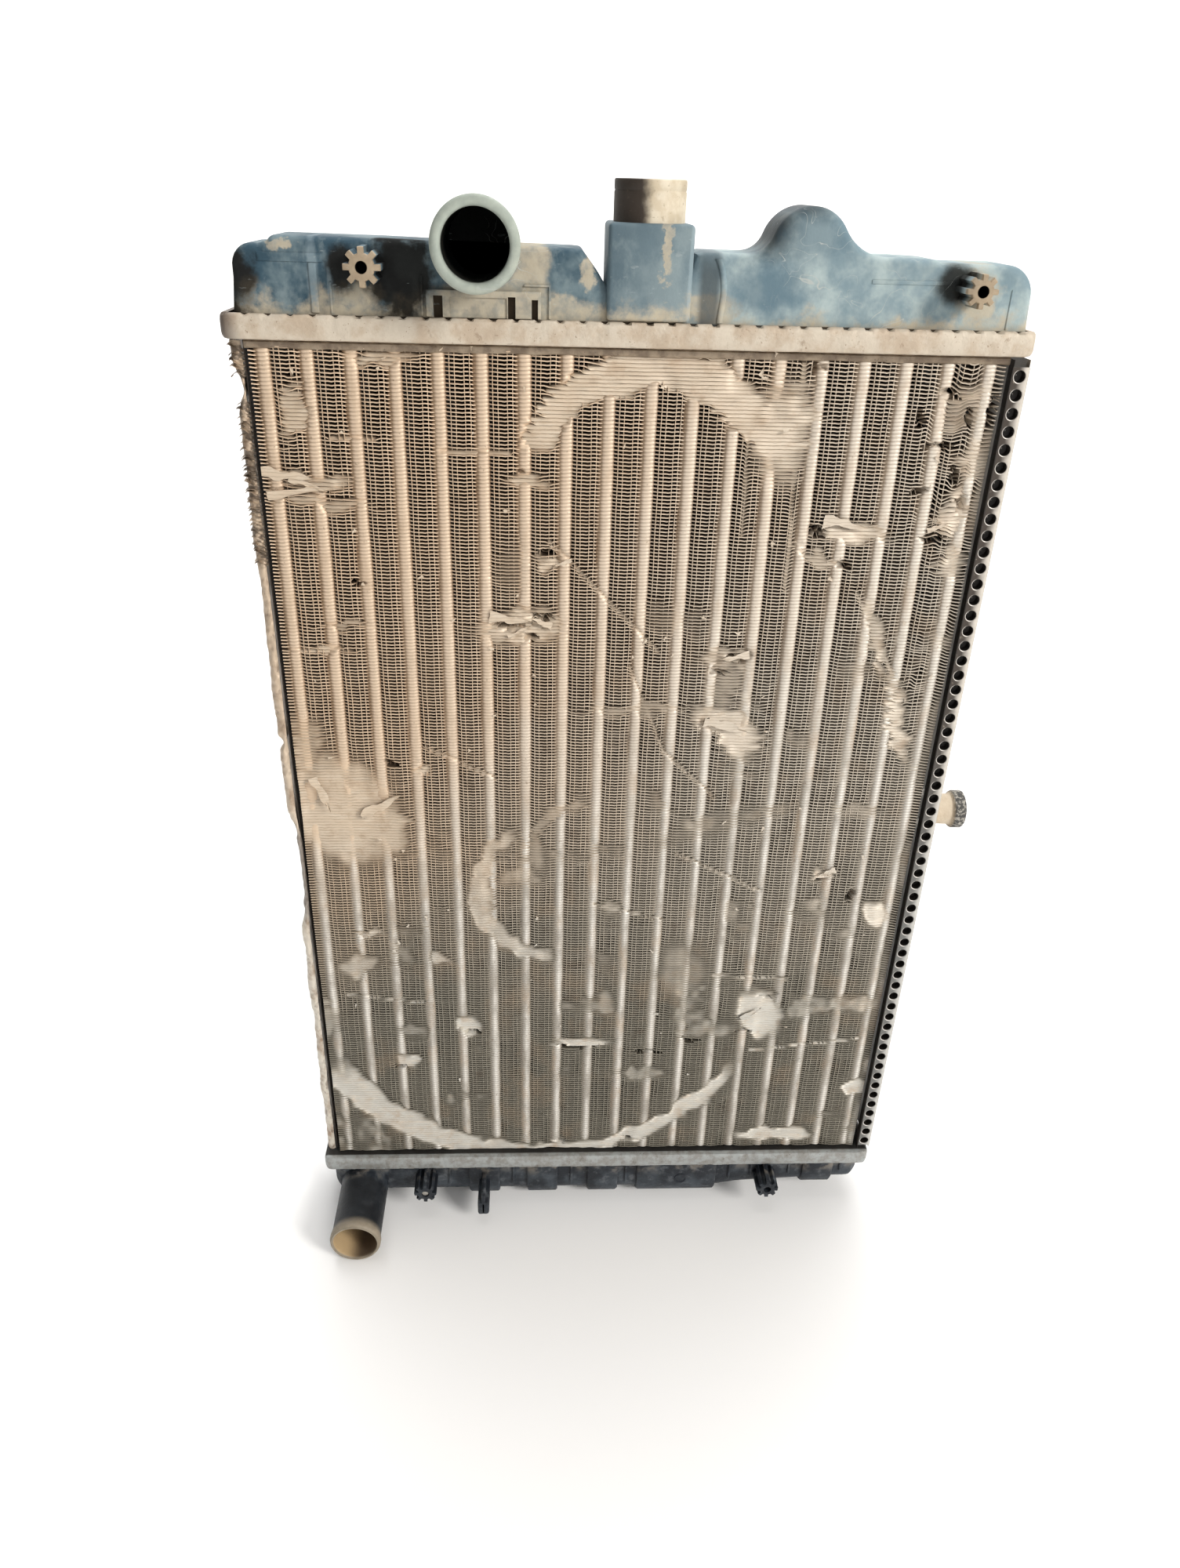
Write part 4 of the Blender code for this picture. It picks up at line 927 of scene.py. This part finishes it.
class Paint:
    """Builds one material's nodes over a running colour. Places are in metres in the object's space."""

    def __init__(self, name):
        self.material = bpy.data.materials.new(name)
        self.material.use_nodes = True
        self.nodes = self.material.node_tree.nodes
        self.links = self.material.node_tree.links
        self.shader = self.nodes["Principled BSDF"]
        self.where = self.nodes.new("ShaderNodeTexCoord").outputs["Object"]
        self.x, self.y, self.z = self.make("ShaderNodeSeparateXYZ", {"Vector": self.where}).outputs
        self.colour = None

    def make(self, kind, inputs, **settings):
        node = self.nodes.new(kind)
        for key, value in settings.items():
            setattr(node, key, value)
        for key, value in inputs.items():
            self.put(node.inputs[key], value)
        return node

    def put(self, socket, value):
        if isinstance(value, bpy.types.NodeSocket):
            self.links.new(value, socket)
        elif isinstance(value, tuple) and len(value) == 3 and socket.type == "RGBA":
            socket.default_value = (*value, 1)
        else:
            socket.default_value = value

    def maths(self, operation, a, b=0.0):
        return self.make("ShaderNodeMath", {0: a, 1: b}, operation=operation).outputs[0]

    def fold(self, operation, values):
        out = values[0]
        for value in values[1:]:
            out = self.maths(operation, out, value)
        return out

    def add(self, *values):
        return self.fold("ADD", values)

    def both(self, *values):
        return self.fold("MULTIPLY", values)

    def either(self, *values):
        return self.fold("MAXIMUM", values)

    def step(self, value, low, high):
        """0 at low, 1 at high, smooth between; low may be the higher one."""
        inputs = {"Value": value, "From Min": low, "From Max": high}
        return self.make("ShaderNodeMapRange", inputs, interpolation_type="SMOOTHSTEP").outputs["Result"]

    def noise(self, size, detail=3.0, rough=0.55, stretch=None, distortion=0.0):
        """Noise from 0 to 1 whose features are about size millimetres."""
        vector = self.where
        if stretch:
            inputs = {0: vector, 1: stretch}
            vector = self.make("ShaderNodeVectorMath", inputs, operation="MULTIPLY").outputs[0]
        inputs = {"Vector": vector, "Scale": 1000 / size, "Detail": detail, "Roughness": rough}
        return self.make("ShaderNodeTexNoise", {**inputs, "Distortion": distortion}).outputs["Fac"]

    def shake(self, swing, *settings):
        """Noise about zero, from -swing / 2 to swing / 2."""
        return self.both(self.maths("SUBTRACT", self.noise(*settings), 0.5), swing)

    def wear(self, name):
        return self.make("ShaderNodeAttribute", {}, attribute_name=name).outputs["Fac"]

    def mix(self, amount, first, second):
        return self.make("ShaderNodeMix", {0: amount, 6: first, 7: second}, data_type="RGBA").outputs[2]

    def blend(self, amount, first, second):
        return self.make("ShaderNodeMix", {0: amount, 2: first, 3: second}, data_type="FLOAT").outputs[0]

    def lay(self, mask, shade, strength=None):
        """Lays a shade over the running colour where the mask is 1."""
        self.colour = self.mix(self.both(mask, strength) if strength else mask, self.colour, shade)

    def spot(self, x, z, half_x, half_z, ragged=0.8, size=8, soft=0.6):
        """A soft patch on the front: 1 in the middle, 0 outside."""
        u = self.both(self.maths("SUBTRACT", self.x, x * MM), 1 / (half_x * MM))
        v = self.both(self.maths("SUBTRACT", self.z, z * MM), 1 / (half_z * MM))
        far = self.maths("SQRT", self.add(self.both(u, u), self.both(v, v)))
        return self.step(self.add(far, self.shake(ragged * 3, size, 5, 0.62)), 1 + soft / 2, 1 - soft / 2)

    def band(self, low, high, soft=0.3):
        """1 between two places across, in millimetres."""
        left = self.step(self.x, (low - soft / 2) * MM, (low + soft / 2) * MM)
        return self.both(left, self.step(self.x, (high + soft / 2) * MM, (high - soft / 2) * MM))

    def bump(self, height, distance, strength=1.0):
        inputs = {"Height": height, "Distance": distance * MM, "Strength": strength}
        self.put(self.shader.inputs["Normal"], self.make("ShaderNodeBump", inputs).outputs["Normal"])

    def finish(self, rough, metallic=0.0, specular=None):
        self.put(self.shader.inputs["Base Color"], self.colour)
        self.put(self.shader.inputs["Roughness"], rough)
        self.put(self.shader.inputs["Metallic"], metallic)
        if specular is not None:
            self.put(self.shader.inputs["Specular IOR Level"], specular)
        return self.material


def core_tone(p, warm, bright, dull):
    """The core's colour: warm dust to the upper left, bright metal in the middle, dull low down."""
    drift = p.shake(0.22, 90, 2)
    across = p.add(p.both(p.x, -1.0), p.both(p.z, 0.55))
    upper_left = p.step(p.add(across, drift), 0.08, 0.40)
    lower = p.step(p.add(p.z, drift), 0.36, 0.14)
    return p.mix(lower, p.mix(upper_left, bright, warm), dull)


def painted_highlight_side(p):
    """The material's form of highlight_side(): where the collars' crests get a painted highlight and the
    fins' gaps a lighter painted shade.
    """
    place = p.add(p.z, p.both(p.x, -0.35))
    return p.step(p.add(place, p.both(p.noise(60, 2), 0.06)), 0.46, 0.30)


def fin_metal():
    p = Paint("fin metal")
    face = core_tone(p, (0.60, 0.455, 0.32), (0.52, 0.46, 0.38), (0.29, 0.265, 0.215))
    smear = core_tone(p, (0.58, 0.47, 0.35), (0.58, 0.51, 0.42), (0.52, 0.50, 0.45))
    flat = p.wear("combed")
    scraped = p.step(p.noise(3.2, 4, 0.6, stretch=(0.3, 1.0, 1.4)), 0.45, 0.7)
    smear = p.mix(p.both(scraped, 0.45), smear, (0.66, 0.58, 0.47))
    patchy = p.step(p.noise(11, 4, 0.6), 0.52, 0.72)
    smear = p.mix(p.both(patchy, 0.55), smear, (0.40, 0.29, 0.19))
    drift = p.shake(2.2 * MM, 7, 3)
    # the fins' edges in the folded metal
    edges = p.maths("PINGPONG", p.add(p.z, drift), FIN_PITCH * MM / 2)
    edges = p.step(edges, 0.62 * MM, 0.85 * MM)
    smear = p.mix(p.both(edges, 0.42), smear, (0.27, 0.21, 0.15))
    p.colour = p.mix(p.step(flat, 0.12, 0.85), face, smear)
    lower = painted_highlight_side(p)
    # Painted shade on the fins deep in the gaps between them, lighter towards the lower right and left
    # off where the fins are folded flat.
    inside_shade = p.both(
        p.step(p.wear("deep"), 0.04, 0.34), p.step(flat, 0.6, 0.25), p.blend(lower, 0.96, 0.76)
    )
    p.lay(inside_shade, p.mix(lower, (0.040, 0.024, 0.015), (0.080, 0.070, 0.052)))
    soot = p.step(p.noise(16, 4, 0.6), 0.56, 0.72)
    p.lay(p.both(soot, p.blend(flat, 0.35, 0.15)), (0.15, 0.10, 0.065))
    dusty = p.step(p.noise(34, 4, 0.6), 0.52, 0.7)
    p.lay(dusty, (0.46, 0.34, 0.23), 0.3)
    sparkle = p.step(p.noise(5, 2), 0.62, 0.75)
    p.bump(p.noise(1.2, 2), 0.15, 0.4)
    return p.finish(p.blend(sparkle, 0.5, 0.32), p.blend(p.step(flat, 0.2, 0.8), 0.5, 0.2))


def collar_metal():
    p = Paint("collar metal")
    ridge = core_tone(p, (0.66, 0.515, 0.375), (0.68, 0.63, 0.55), (0.50, 0.47, 0.405))
    slope = core_tone(p, (0.36, 0.245, 0.155), (0.34, 0.285, 0.225), (0.24, 0.21, 0.17))
    # The collars' slopes get a darker brown painted shade, most on their left sides, away from the key
    # light.
    flank_shade = p.add(p.wear("flank_shade"), p.shake(0.5, 9, 3))
    p.colour = p.mix(p.step(flank_shade, 0.0, 0.75), ridge, slope)
    # A painted highlight along the collars' crests towards the lower right, broken up along their length.
    gleam = p.blend(p.step(p.noise(16, 3, 0.6, stretch=(1.0, 1.0, 0.45)), 0.36, 0.6), 0.3, 1.0)
    crest_highlight_colour = p.mix(p.both(p.wear("crest_highlight"), gleam), (0.27, 0.245, 0.205), (0.82, 0.79, 0.73))
    p.lay(painted_highlight_side(p), crest_highlight_colour, 0.9)
    groove = p.both(p.wear("line"), p.blend(flank_shade, 0.45, 0.85))
    p.lay(groove, (0.17, 0.115, 0.075))
    patches = p.step(p.noise(12, 4, 0.65, stretch=(1.0, 1.0, 0.4)), 0.5, 0.7)
    p.lay(patches, (0.40, 0.29, 0.19), 0.4)
    specks = p.step(p.noise(2.2, 3), 0.66, 0.74)
    p.lay(specks, (0.19, 0.13, 0.08), 0.6)
    flat = p.step(p.wear("combed"), 0.3, 0.8)
    p.lay(flat, core_tone(p, (0.60, 0.45, 0.31), (0.58, 0.48, 0.37), (0.45, 0.41, 0.33)), 0.8)
    p.bump(p.noise(1.6, 3), 0.12, 0.4)
    shine = p.both(p.maths("SUBTRACT", 1.0, patches), p.maths("SUBTRACT", 1.0, flat))
    return p.finish(p.blend(patches, 0.5, 0.65), p.blend(shine, 0.15, 0.35))


def dusty_metal(name, base, dust, dark, metallic=0.15, shaded_left_end=False, gap=False, grain=14):
    p = Paint(name)
    p.colour = p.mix(p.step(p.noise(grain, 5, 0.62), 0.38, 0.62), base, dust)
    stains = p.step(p.noise(6, 5, 0.7, distortion=0.4), 0.58, 0.72)
    p.lay(stains, dark, 0.5)
    pits = p.step(p.noise(1.6, 2), 0.68, 0.76)
    p.lay(pits, dark, 0.7)
    # Painted shade on the header's left end, away from the key light.
    if shaded_left_end:
        p.lay(p.step(p.x, -0.184, -0.195), (0.10, 0.075, 0.06), 0.9)
    if gap:  # the painted shadow line along the foot of the fins
        ledge_shadow = p.both(
            p.step(p.y, -0.0200, -0.0186), p.step(p.z, (CORE_BOTTOM - 1.6) * MM, (CORE_BOTTOM - 1.0) * MM)
        )
        p.lay(ledge_shadow, (0.012, 0.010, 0.008), 0.96)
    p.bump(p.add(p.noise(2.0, 4), p.both(p.noise(9, 3), 1.5)), 0.45, 0.6)
    return p.finish(p.blend(stains, 0.55, 0.75), metallic)


def channel_shade_metal():
    p = Paint("channel wall shade")
    p.colour = p.mix(p.noise(8, 4), (0.02, 0.015, 0.012), (0.08, 0.06, 0.045))
    return p.finish(p.blend(p.noise(5), 0.55, 0.8), 0.2)


def plate_metal():
    p = Paint("plate metal")
    lower = p.step(p.z, 0.42, 0.25)
    dark = p.mix(lower, (0.045, 0.034, 0.026), (0.13, 0.128, 0.12))
    pale = p.mix(lower, (0.60, 0.555, 0.49), (0.50, 0.49, 0.46))
    shade = p.shake(0.0035, 5, 4)
    lip = p.step(p.add(p.x, shade), 0.1905, 0.1960)
    p.colour = p.mix(lip, dark, pale)
    specks = p.step(p.noise(2.5, 3), 0.6, 0.7)
    p.lay(specks, (0.45, 0.38, 0.30), 0.35)
    web = p.step(p.x, (PLATE_HIGH[0] - 0.35) * MM, (PLATE_HIGH[0] - 0.1) * MM)
    p.lay(web, p.mix(p.noise(18, 5), (0.50, 0.47, 0.42), (0.27, 0.235, 0.19)), 0.8)
    # Painted highlight on one side of each hole's pressed rim.
    p.lay(p.wear("rim"), (0.80, 0.76, 0.70))
    edge = (PLATE_LOW[0] + 0.35) * MM, PLATE_LOW[1] * MM
    # Painted shade in the holes' cups behind the flange and along the inner edge next to the fins.
    hollow_shade = p.both(p.step(p.y, edge[1] + 0.0003, edge[1] + 0.0007), p.step(p.x, 0.1952, 0.1948))
    hollow_shade = p.either(hollow_shade, p.step(p.x, edge[0] + 0.0003, edge[0]))
    p.lay(hollow_shade, (0.012, 0.009, 0.007), 0.97)
    p.bump(p.noise(1.5, 3), 0.15, 0.5)
    return p.finish(p.blend(specks, 0.42, 0.65), p.blend(lip, 0.25, 0.1))


def torn_metal():
    p = Paint("torn metal")
    high = p.step(p.z, 0.18, 0.42)
    base = p.mix(high, (0.60, 0.55, 0.47), (0.52, 0.41, 0.30))
    p.colour = p.mix(p.step(p.noise(11, 4, 0.6), 0.45, 0.7), base, (0.32, 0.23, 0.16))
    creases = p.step(p.noise(3.4, 4, 0.6, stretch=(1.0, 1.0, 0.5)), 0.56, 0.68)
    p.lay(creases, (0.14, 0.10, 0.08), 0.6)
    layers = p.both(
        p.step(p.noise(2.6, 2, stretch=(0.25, 1.0, 1.0)), 0.47, 0.55), p.step(p.z, 0.472, 0.484)
    )
    p.lay(layers, (0.10, 0.075, 0.055), 0.75)
    notch = p.both(p.step(p.z, 0.242, 0.258), p.step(p.z, 0.322, 0.306))
    p.lay(notch, (0.16, 0.14, 0.13), 0.7)
    p.bump(p.noise(2.0, 3), 0.3, 0.6)
    return p.finish(0.5, 0.3)


def tank_plastic():
    p = Paint("tank plastic")
    right = p.step(p.add(p.x, p.shake(0.06, 30, 3)), -0.03, 0.05)
    tone = p.step(p.noise(24, 4, 0.6), 0.38, 0.62)
    left_blue = p.mix(tone, (0.040, 0.074, 0.100), (0.135, 0.185, 0.205))
    right_blue = p.mix(tone, (0.185, 0.255, 0.285), (0.36, 0.43, 0.43))
    p.colour = p.mix(right, left_blue, right_blue)
    tower = p.band(-15, 39, 4.0)
    p.lay(tower, (0.125, 0.168, 0.19), 0.55)
    haze = p.step(p.noise(9, 5, 0.65, stretch=(1.0, 1.0, 0.6)), 0.46, 0.70)
    p.lay(haze, (0.27, 0.325, 0.33), 0.35)
    # painted highlights on the upright edges, and cream dust that thickens towards the header
    edge_highlights = p.either(
        p.spot(-151, 616, 2.6, 22, 0.4), p.spot(-143.4, 608, 1.3, 16, 0.4), p.spot(25, 620, 1.2, 30, 0.4)
    )
    p.lay(edge_highlights, (0.29, 0.36, 0.39), 0.4)
    reach = p.shake(0.040, 13, 5, 0.62)
    height = p.blend(right, 0.0, 0.004)
    dust_low = p.step(p.add(p.add(p.z, reach), height), 0.6125, 0.602)
    dust_spots = p.either(
        p.spot(-50, 624, 8, 18, 0.4), p.spot(-70, 608, 32, 9, 0.3), p.spot(-23, 621, 3.5, 9, 1.3),
        p.spot(-130, 610, 10, 7), p.spot(164, 617, 9, 14, 0.6), p.spot(-34, 606, 12, 6),
        p.spot(36, 608, 12, 8), p.spot(13, 633, 2.4, 13, 1.6, 5), p.spot(-164, 631, 6, 2, 1.4, 5),
    )
    dust = p.either(dust_low, p.both(dust_spots, 0.9))
    mottled = p.blend(p.step(p.noise(5, 4), 0.3, 0.6), 0.6, 1.0)
    cream = p.mix(p.noise(7, 3), (0.52, 0.46, 0.35), (0.38, 0.32, 0.23))
    p.lay(p.both(dust, mottled), cream, 0.9)
    # Painted shade on the tank wall just above the header's lip, which shows in the crimp notches.
    lip_shadow = p.step(p.z, 0.60185, 0.6014)
    p.lay(lip_shadow, (0.035, 0.022, 0.014), 0.9)
    # painted cast shadows beside the two bosses, soot left of the inlet, and darker at the left end
    soot = p.either(
        p.spot(-111, 620, 15, 20, 0.45), p.spot(-137, 622, 7, 10, 0.4),
        p.spot(153, 622, 10, 9, 0.25, soft=0.8), p.step(p.add(p.x, reach), -0.177, -0.189),
    )
    ahead = p.both(p.step(p.y, -0.034, -0.024), p.step(p.y, -0.004, -0.014))
    p.lay(p.both(soot, ahead), (0.012, 0.010, 0.008), 0.93)
    # Painted shade on the dome's upper left, away from the key light.
    dome_shade = p.either(p.spot(62, 646, 12, 14, 0.25, soft=1.4), p.spot(76, 656, 17, 8, 0.25, soft=1.4))
    p.lay(dome_shade, (0.022, 0.022, 0.022), 0.92)
    blue = p.either(p.spot(84, 641, 15, 10, 0.4, soft=1.2), p.spot(62, 618, 18, 11, 0.6, soft=1.2))
    p.lay(blue, (0.07, 0.125, 0.165), 0.6)
    # Painted shade along the left side of the raised seam, away from the key light.
    seam = p.both(p.band(30.0, 39.6, 4.0), p.step(p.z, 0.640, 0.622))
    p.lay(seam, (0.05, 0.06, 0.065), 0.75)
    # the bosses' faces are cream with dust
    faces = p.both(p.step(p.y, -0.0325, -0.0345), p.step(p.y, -0.040, -0.0365))
    p.lay(faces, p.mix(p.noise(3, 4), (0.42, 0.335, 0.235), (0.25, 0.185, 0.12)), 0.92)
    # the inlet's rim is pale grey-green, and its bore is painted black as the shade in it
    rim = p.step(p.y, -0.040, -0.0462)
    p.lay(rim, p.mix(p.noise(5, 4), (0.25, 0.285, 0.25), (0.47, 0.50, 0.43)), 0.9)
    bore = p.both(
        p.spot(*INLET, 15.6, 15.6, 0.0, soft=0.04), p.step(p.y, -0.0505, -0.045), p.step(
            p.y, 0.0032, 0.0026
        )
    )
    p.lay(bore, (0.006, 0.006, 0.005), 0.97)
    # Painted shade in the slots of the panel under the inlet.
    slots = p.either(*[p.band(low, high) for low, high in SLOTS])
    slots = p.both(
        slots, p.step(p.y, -0.0209, -0.0202), p.step(p.y, -0.016, -0.017), p.step(p.z, 0.6118, 0.6113)
    )
    p.lay(slots, (0.03, 0.02, 0.012), 0.95)
    # Painted shade in the top bosses' drilled holes.
    holes = [p.spot(x, CORE_TOP + height, 2.9, 2.9, 0.0, soft=0.06) for x, height in TOP_BOSSES]
    holes = p.either(*holes)
    holes = p.both(holes, p.step(p.y, -0.0362, -0.0356), p.step(p.y, -0.0150, -0.0165))
    p.lay(holes, (0.006, 0.005, 0.004))
    cracks = p.step(
        p.maths("ABSOLUTE", p.maths("SUBTRACT", p.noise(17, 1, 0.5, distortion=1.2), 0.5)), 0.006, 0.001
    )
    cracked = p.either(p.spot(128, 618, 20, 22), p.spot(-60, 626, 14, 16), p.spot(88, 628, 22, 20))
    p.lay(p.both(cracks, cracked), (0.40, 0.42, 0.40), 0.8)
    scuffs = p.step(p.noise(3, 3, 0.6, stretch=(0.35, 1, 1)), 0.66, 0.74)
    p.lay(scuffs, (0.36, 0.40, 0.40), 0.3)
    p.bump(p.add(p.noise(1.3, 3), p.both(p.noise(12, 3), 2.0)), 0.22, 0.6)
    return p.finish(p.blend(p.either(dust, p.both(soot, ahead)), 0.5, 0.85), specular=0.05)


def filler_plastic():
    p = Paint("filler plastic")
    shade = p.shake(0.006, 6, 3)
    # Painted shade down the neck's left side, away from the key light.
    left = p.step(p.add(p.x, shade), 0.0065, 0.0005)
    cream = p.mix(p.step(p.noise(9, 4), 0.4, 0.65), (0.50, 0.42, 0.30), (0.60, 0.53, 0.41))
    p.colour = p.mix(p.both(left, 0.98), cream, (0.022, 0.013, 0.008))
    specks = p.step(p.noise(2, 3), 0.62, 0.72)
    p.lay(p.both(specks, p.blend(left, 0.6, 0.15)), (0.30, 0.24, 0.17))
    p.bump(p.noise(2.5, 4), 0.25, 0.6)
    return p.finish(p.blend(specks, 0.6, 0.8))


def lower_plastic():
    p = Paint("lower tank plastic")
    p.colour = p.mix(p.step(p.noise(22, 4, 0.6), 0.4, 0.65), (0.012, 0.015, 0.020), (0.045, 0.055, 0.066))
    haze = p.step(p.noise(7, 5, 0.65), 0.52, 0.72)
    p.lay(haze, (0.16, 0.17, 0.18), 0.5)
    dust = p.both(
        p.step(p.noise(11, 4), 0.46, 0.66), p.step(p.z, 0.024, 0.036), p.step(p.y, -0.030, -0.025)
    )
    p.lay(dust, (0.30, 0.25, 0.19), 0.5)
    neck = p.both(p.step(p.y, -0.024, -0.030), p.step(p.x, -0.145, -0.150))
    p.lay(neck, (0.009, 0.010, 0.012), 0.8)
    mouth = p.both(p.step(p.y, -0.0605, -0.0675), p.step(p.x, -0.145, -0.150))
    p.lay(mouth, p.mix(p.noise(5, 4), (0.42, 0.36, 0.27), (0.22, 0.18, 0.13)), 0.8)
    # The outlet's bore: its left wall beige, the rest painted dark as the shade deep in the tube.
    inside_shade = p.both(
        p.spot(*OUTLET, 14.9, 14.9, 0.0, soft=0.04), p.step(p.y, -0.0712, -0.0700),
        p.step(p.y, -0.0080, -0.0086)
    )
    p.lay(inside_shade, p.mix(p.step(p.x, -0.166, -0.178), (0.10, 0.07, 0.045), (0.50, 0.36, 0.20)), 0.95)
    p.bump(p.add(p.noise(1.4, 3), p.both(p.noise(10, 3), 2.0)), 0.25, 0.6)
    return p.finish(p.blend(haze, 0.5, 0.75), specular=0.3)


def pin_metal():
    p = Paint("pin metal")
    p.colour = p.mix(p.step(p.noise(6, 4), 0.4, 0.6), (0.68, 0.58, 0.44), (0.50, 0.38, 0.26))
    top = p.step(p.z, 0.325, 0.3325)
    p.lay(top, (0.20, 0.13, 0.08), 0.5)
    p.bump(p.noise(2, 3), 0.3, 0.6)
    return p.finish(0.6, 0.25)


def bush_rubber():
    p = Paint("bush rubber")
    grain = p.step(p.noise(1.8, 3, 0.6), 0.45, 0.62)
    p.colour = p.mix(grain, (0.05, 0.048, 0.045), (0.34, 0.32, 0.28))
    body = p.step(p.x, (BUSH_HIGH[0] - 6.5) * MM, (BUSH_HIGH[0] - 8.5) * MM)
    p.lay(body, p.mix(p.noise(5, 4), (0.62, 0.54, 0.42), (0.45, 0.36, 0.26)))
    p.bump(p.noise(1.5, 3), 0.5, 0.8)
    return p.finish(0.75)


def plain_steel():
    p = Paint("screw steel")
    p.colour = p.mix(p.noise(2, 3), (0.62, 0.62, 0.60), (0.35, 0.30, 0.24))
    p.bump(p.noise(1.2, 3), 0.2, 0.6)
    return p.finish(p.blend(p.noise(1.5), 0.25, 0.5), 0.9)


def gasket_rubber():
    p = Paint("gasket rubber")
    p.colour = p.mix(p.noise(5, 3), (0.02, 0.02, 0.02), (0.06, 0.055, 0.05))
    return p.finish(p.blend(p.noise(3), 0.7, 0.9))


def give(obj, material, slot, *nodes):
    obj.data.materials.clear()
    obj.data.materials.append(material)
    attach(obj, "root")
    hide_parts(*nodes)


def carry_over(node, material):
    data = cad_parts[node].data
    data.materials.clear()
    data.materials.append(material)


# Studio


def studio():
    size, rise, back = 6000, 3500, 1900
    turns = [pi / 2 * i / 16 for i in range(17)]
    curve = [(back + 900 * sin(t), 900 * (1 - cos(t))) for t in turns]
    profile = [(-size, 0)] + curve + [(back + 900, rise)]
    points = [(x, y, z) for x in (-size, size) for y, z in profile]
    floor = add_object("floor", points, grid_faces(2, len(profile)), 0)
    p = Paint("studio floor")
    p.bump(p.noise(3, 2), 0.02, 0.1)
    p.colour = p.mix(p.noise(700, 2), (0.90, 0.895, 0.885), (0.93, 0.925, 0.92))
    floor.data.materials.append(p.finish(0.85))
    world = bpy.data.worlds.new("studio")
    world.use_nodes = True
    sky = world.node_tree.nodes["Background"].inputs
    sky["Color"].default_value = (1.0, 0.99, 0.97, 1)
    sky["Strength"].default_value = 0.30
    bpy.context.scene.world = world
    bpy.context.scene.view_settings.view_transform = "Standard"
    lights = (
        # name, place, target, size, energy, colour
        ("key", (3.1, -2.7, 2.5), (0.0, 0.0, 0.36), 1.5, 172, (1.0, 0.975, 0.94)),
        ("front", (0.6, -2.4, 1.4), (0.0, 0.0, 0.3), 1.4, 13, (1.0, 0.98, 0.96)),
        ("back", (0.0, 1.1, 2.8), (0.0, 1.5, 0.0), 2.6, 85, (1.0, 1.0, 1.0)),
    )
    for name, place, target, size, energy, colour in lights:
        light = bpy.data.lights.new(name, "AREA")
        light.shape = "DISK"
        light.size = size
        light.energy = energy
        light.color = colour
        obj = bpy.data.objects.new(name, light)
        bpy.context.scene.collection.objects.link(obj)
        obj.location = place
        obj.rotation_mode = "QUATERNION"
        obj.rotation_quaternion = (Vector(target) - Vector(place)).to_track_quat("-Z", "Y")


CAMERA_PLACE = (-0.04575, -0.58416, 0.6604)  # metres
CAMERA_FORWARD = (0.04782, 0.87516, -0.48145)
CAMERA_RIGHT = (0.99885, -0.03994, 0.02660)
FOCAL_LENGTH = 25.2  # on a 36 mm sensor


def camera():
    data = bpy.data.cameras.new("camera")
    data.sensor_width, data.sensor_fit, data.lens = 36, "AUTO", FOCAL_LENGTH
    data.clip_start, data.clip_end = 0.01, 50
    obj = bpy.data.objects.new("camera", data)
    bpy.context.scene.collection.objects.link(obj)
    forward, right = Vector(CAMERA_FORWARD).normalized(), Vector(CAMERA_RIGHT).normalized()
    up = right.cross(forward).normalized()
    turn = Matrix([(right[i], up[i], -forward[i], 0) for i in range(3)] + [(0, 0, 0, 1)])
    obj.matrix_world = Matrix.Translation(CAMERA_PLACE) @ turn
    bpy.context.scene.camera = obj


camera()
studio()

FIN_METAL = fin_metal()
COLLAR_METAL = collar_metal()
DUSTY_METAL = dusty_metal(
    "dusty fin strip", (0.17, 0.125, 0.085), (0.30, 0.235, 0.165), (0.08, 0.055, 0.035), grain=8
)
TOP_HEADER_METAL = dusty_metal(
    "top header dust and shade", (0.44, 0.355, 0.265), (0.53, 0.465, 0.375), (0.22, 0.15, 0.095), shaded_left_end=True
)
LOWER_HEADER_METAL = dusty_metal(
    "bottom header dust and shadow", (0.36, 0.375, 0.37), (0.27, 0.265, 0.245), (0.12, 0.10, 0.08), 0.3,
    gap=True, grain=6
)
CHANNEL_SHADE_METAL = channel_shade_metal()
PLATE_METAL = plate_metal()
TORN_METAL = torn_metal()
TANK_PLASTIC = tank_plastic()
FILLER_PLASTIC = filler_plastic()
LOWER_PLASTIC = lower_plastic()
PIN_METAL = pin_metal()
BUSH_RUBBER = bush_rubber()
SCREW_STEEL = plain_steel()
GASKET_RUBBER = gasket_rubber()

fin_banks()
half = len(FRONT_X) // 2
collars("front_collars_left", FRONT_X[:half], -1, 3, FRONT_RIDGE, FRONT_TUBES)
collars("front_collars_right", FRONT_X[half:], -1, 3, FRONT_RIDGE, FRONT_TUBES)
collars("rear_collars", REAR_X, 1, 2, REAR_RIDGE, REAR_TUBES)
spacer_tabs()
fin_flaps()
fin_rails()
header("top_header_tray", "top_header", CORE_TOP, 1, TOP_HEADER_METAL)
header("bottom_header_tray", "bottom_header", CORE_BOTTOM, -1, LOWER_HEADER_METAL)
perforated_plate()
torn_plate()
top_tank()
filler_neck()
bottom_tank()
pin_and_bush()
for small_part in ("shroud_screw", "pin_rivet_upper", "pin_rivet_lower"):
    carry_over(small_part, SCREW_STEEL)
for gasket in ("top_gasket", "bottom_gasket"):
    carry_over(gasket, GASKET_RUBBER)
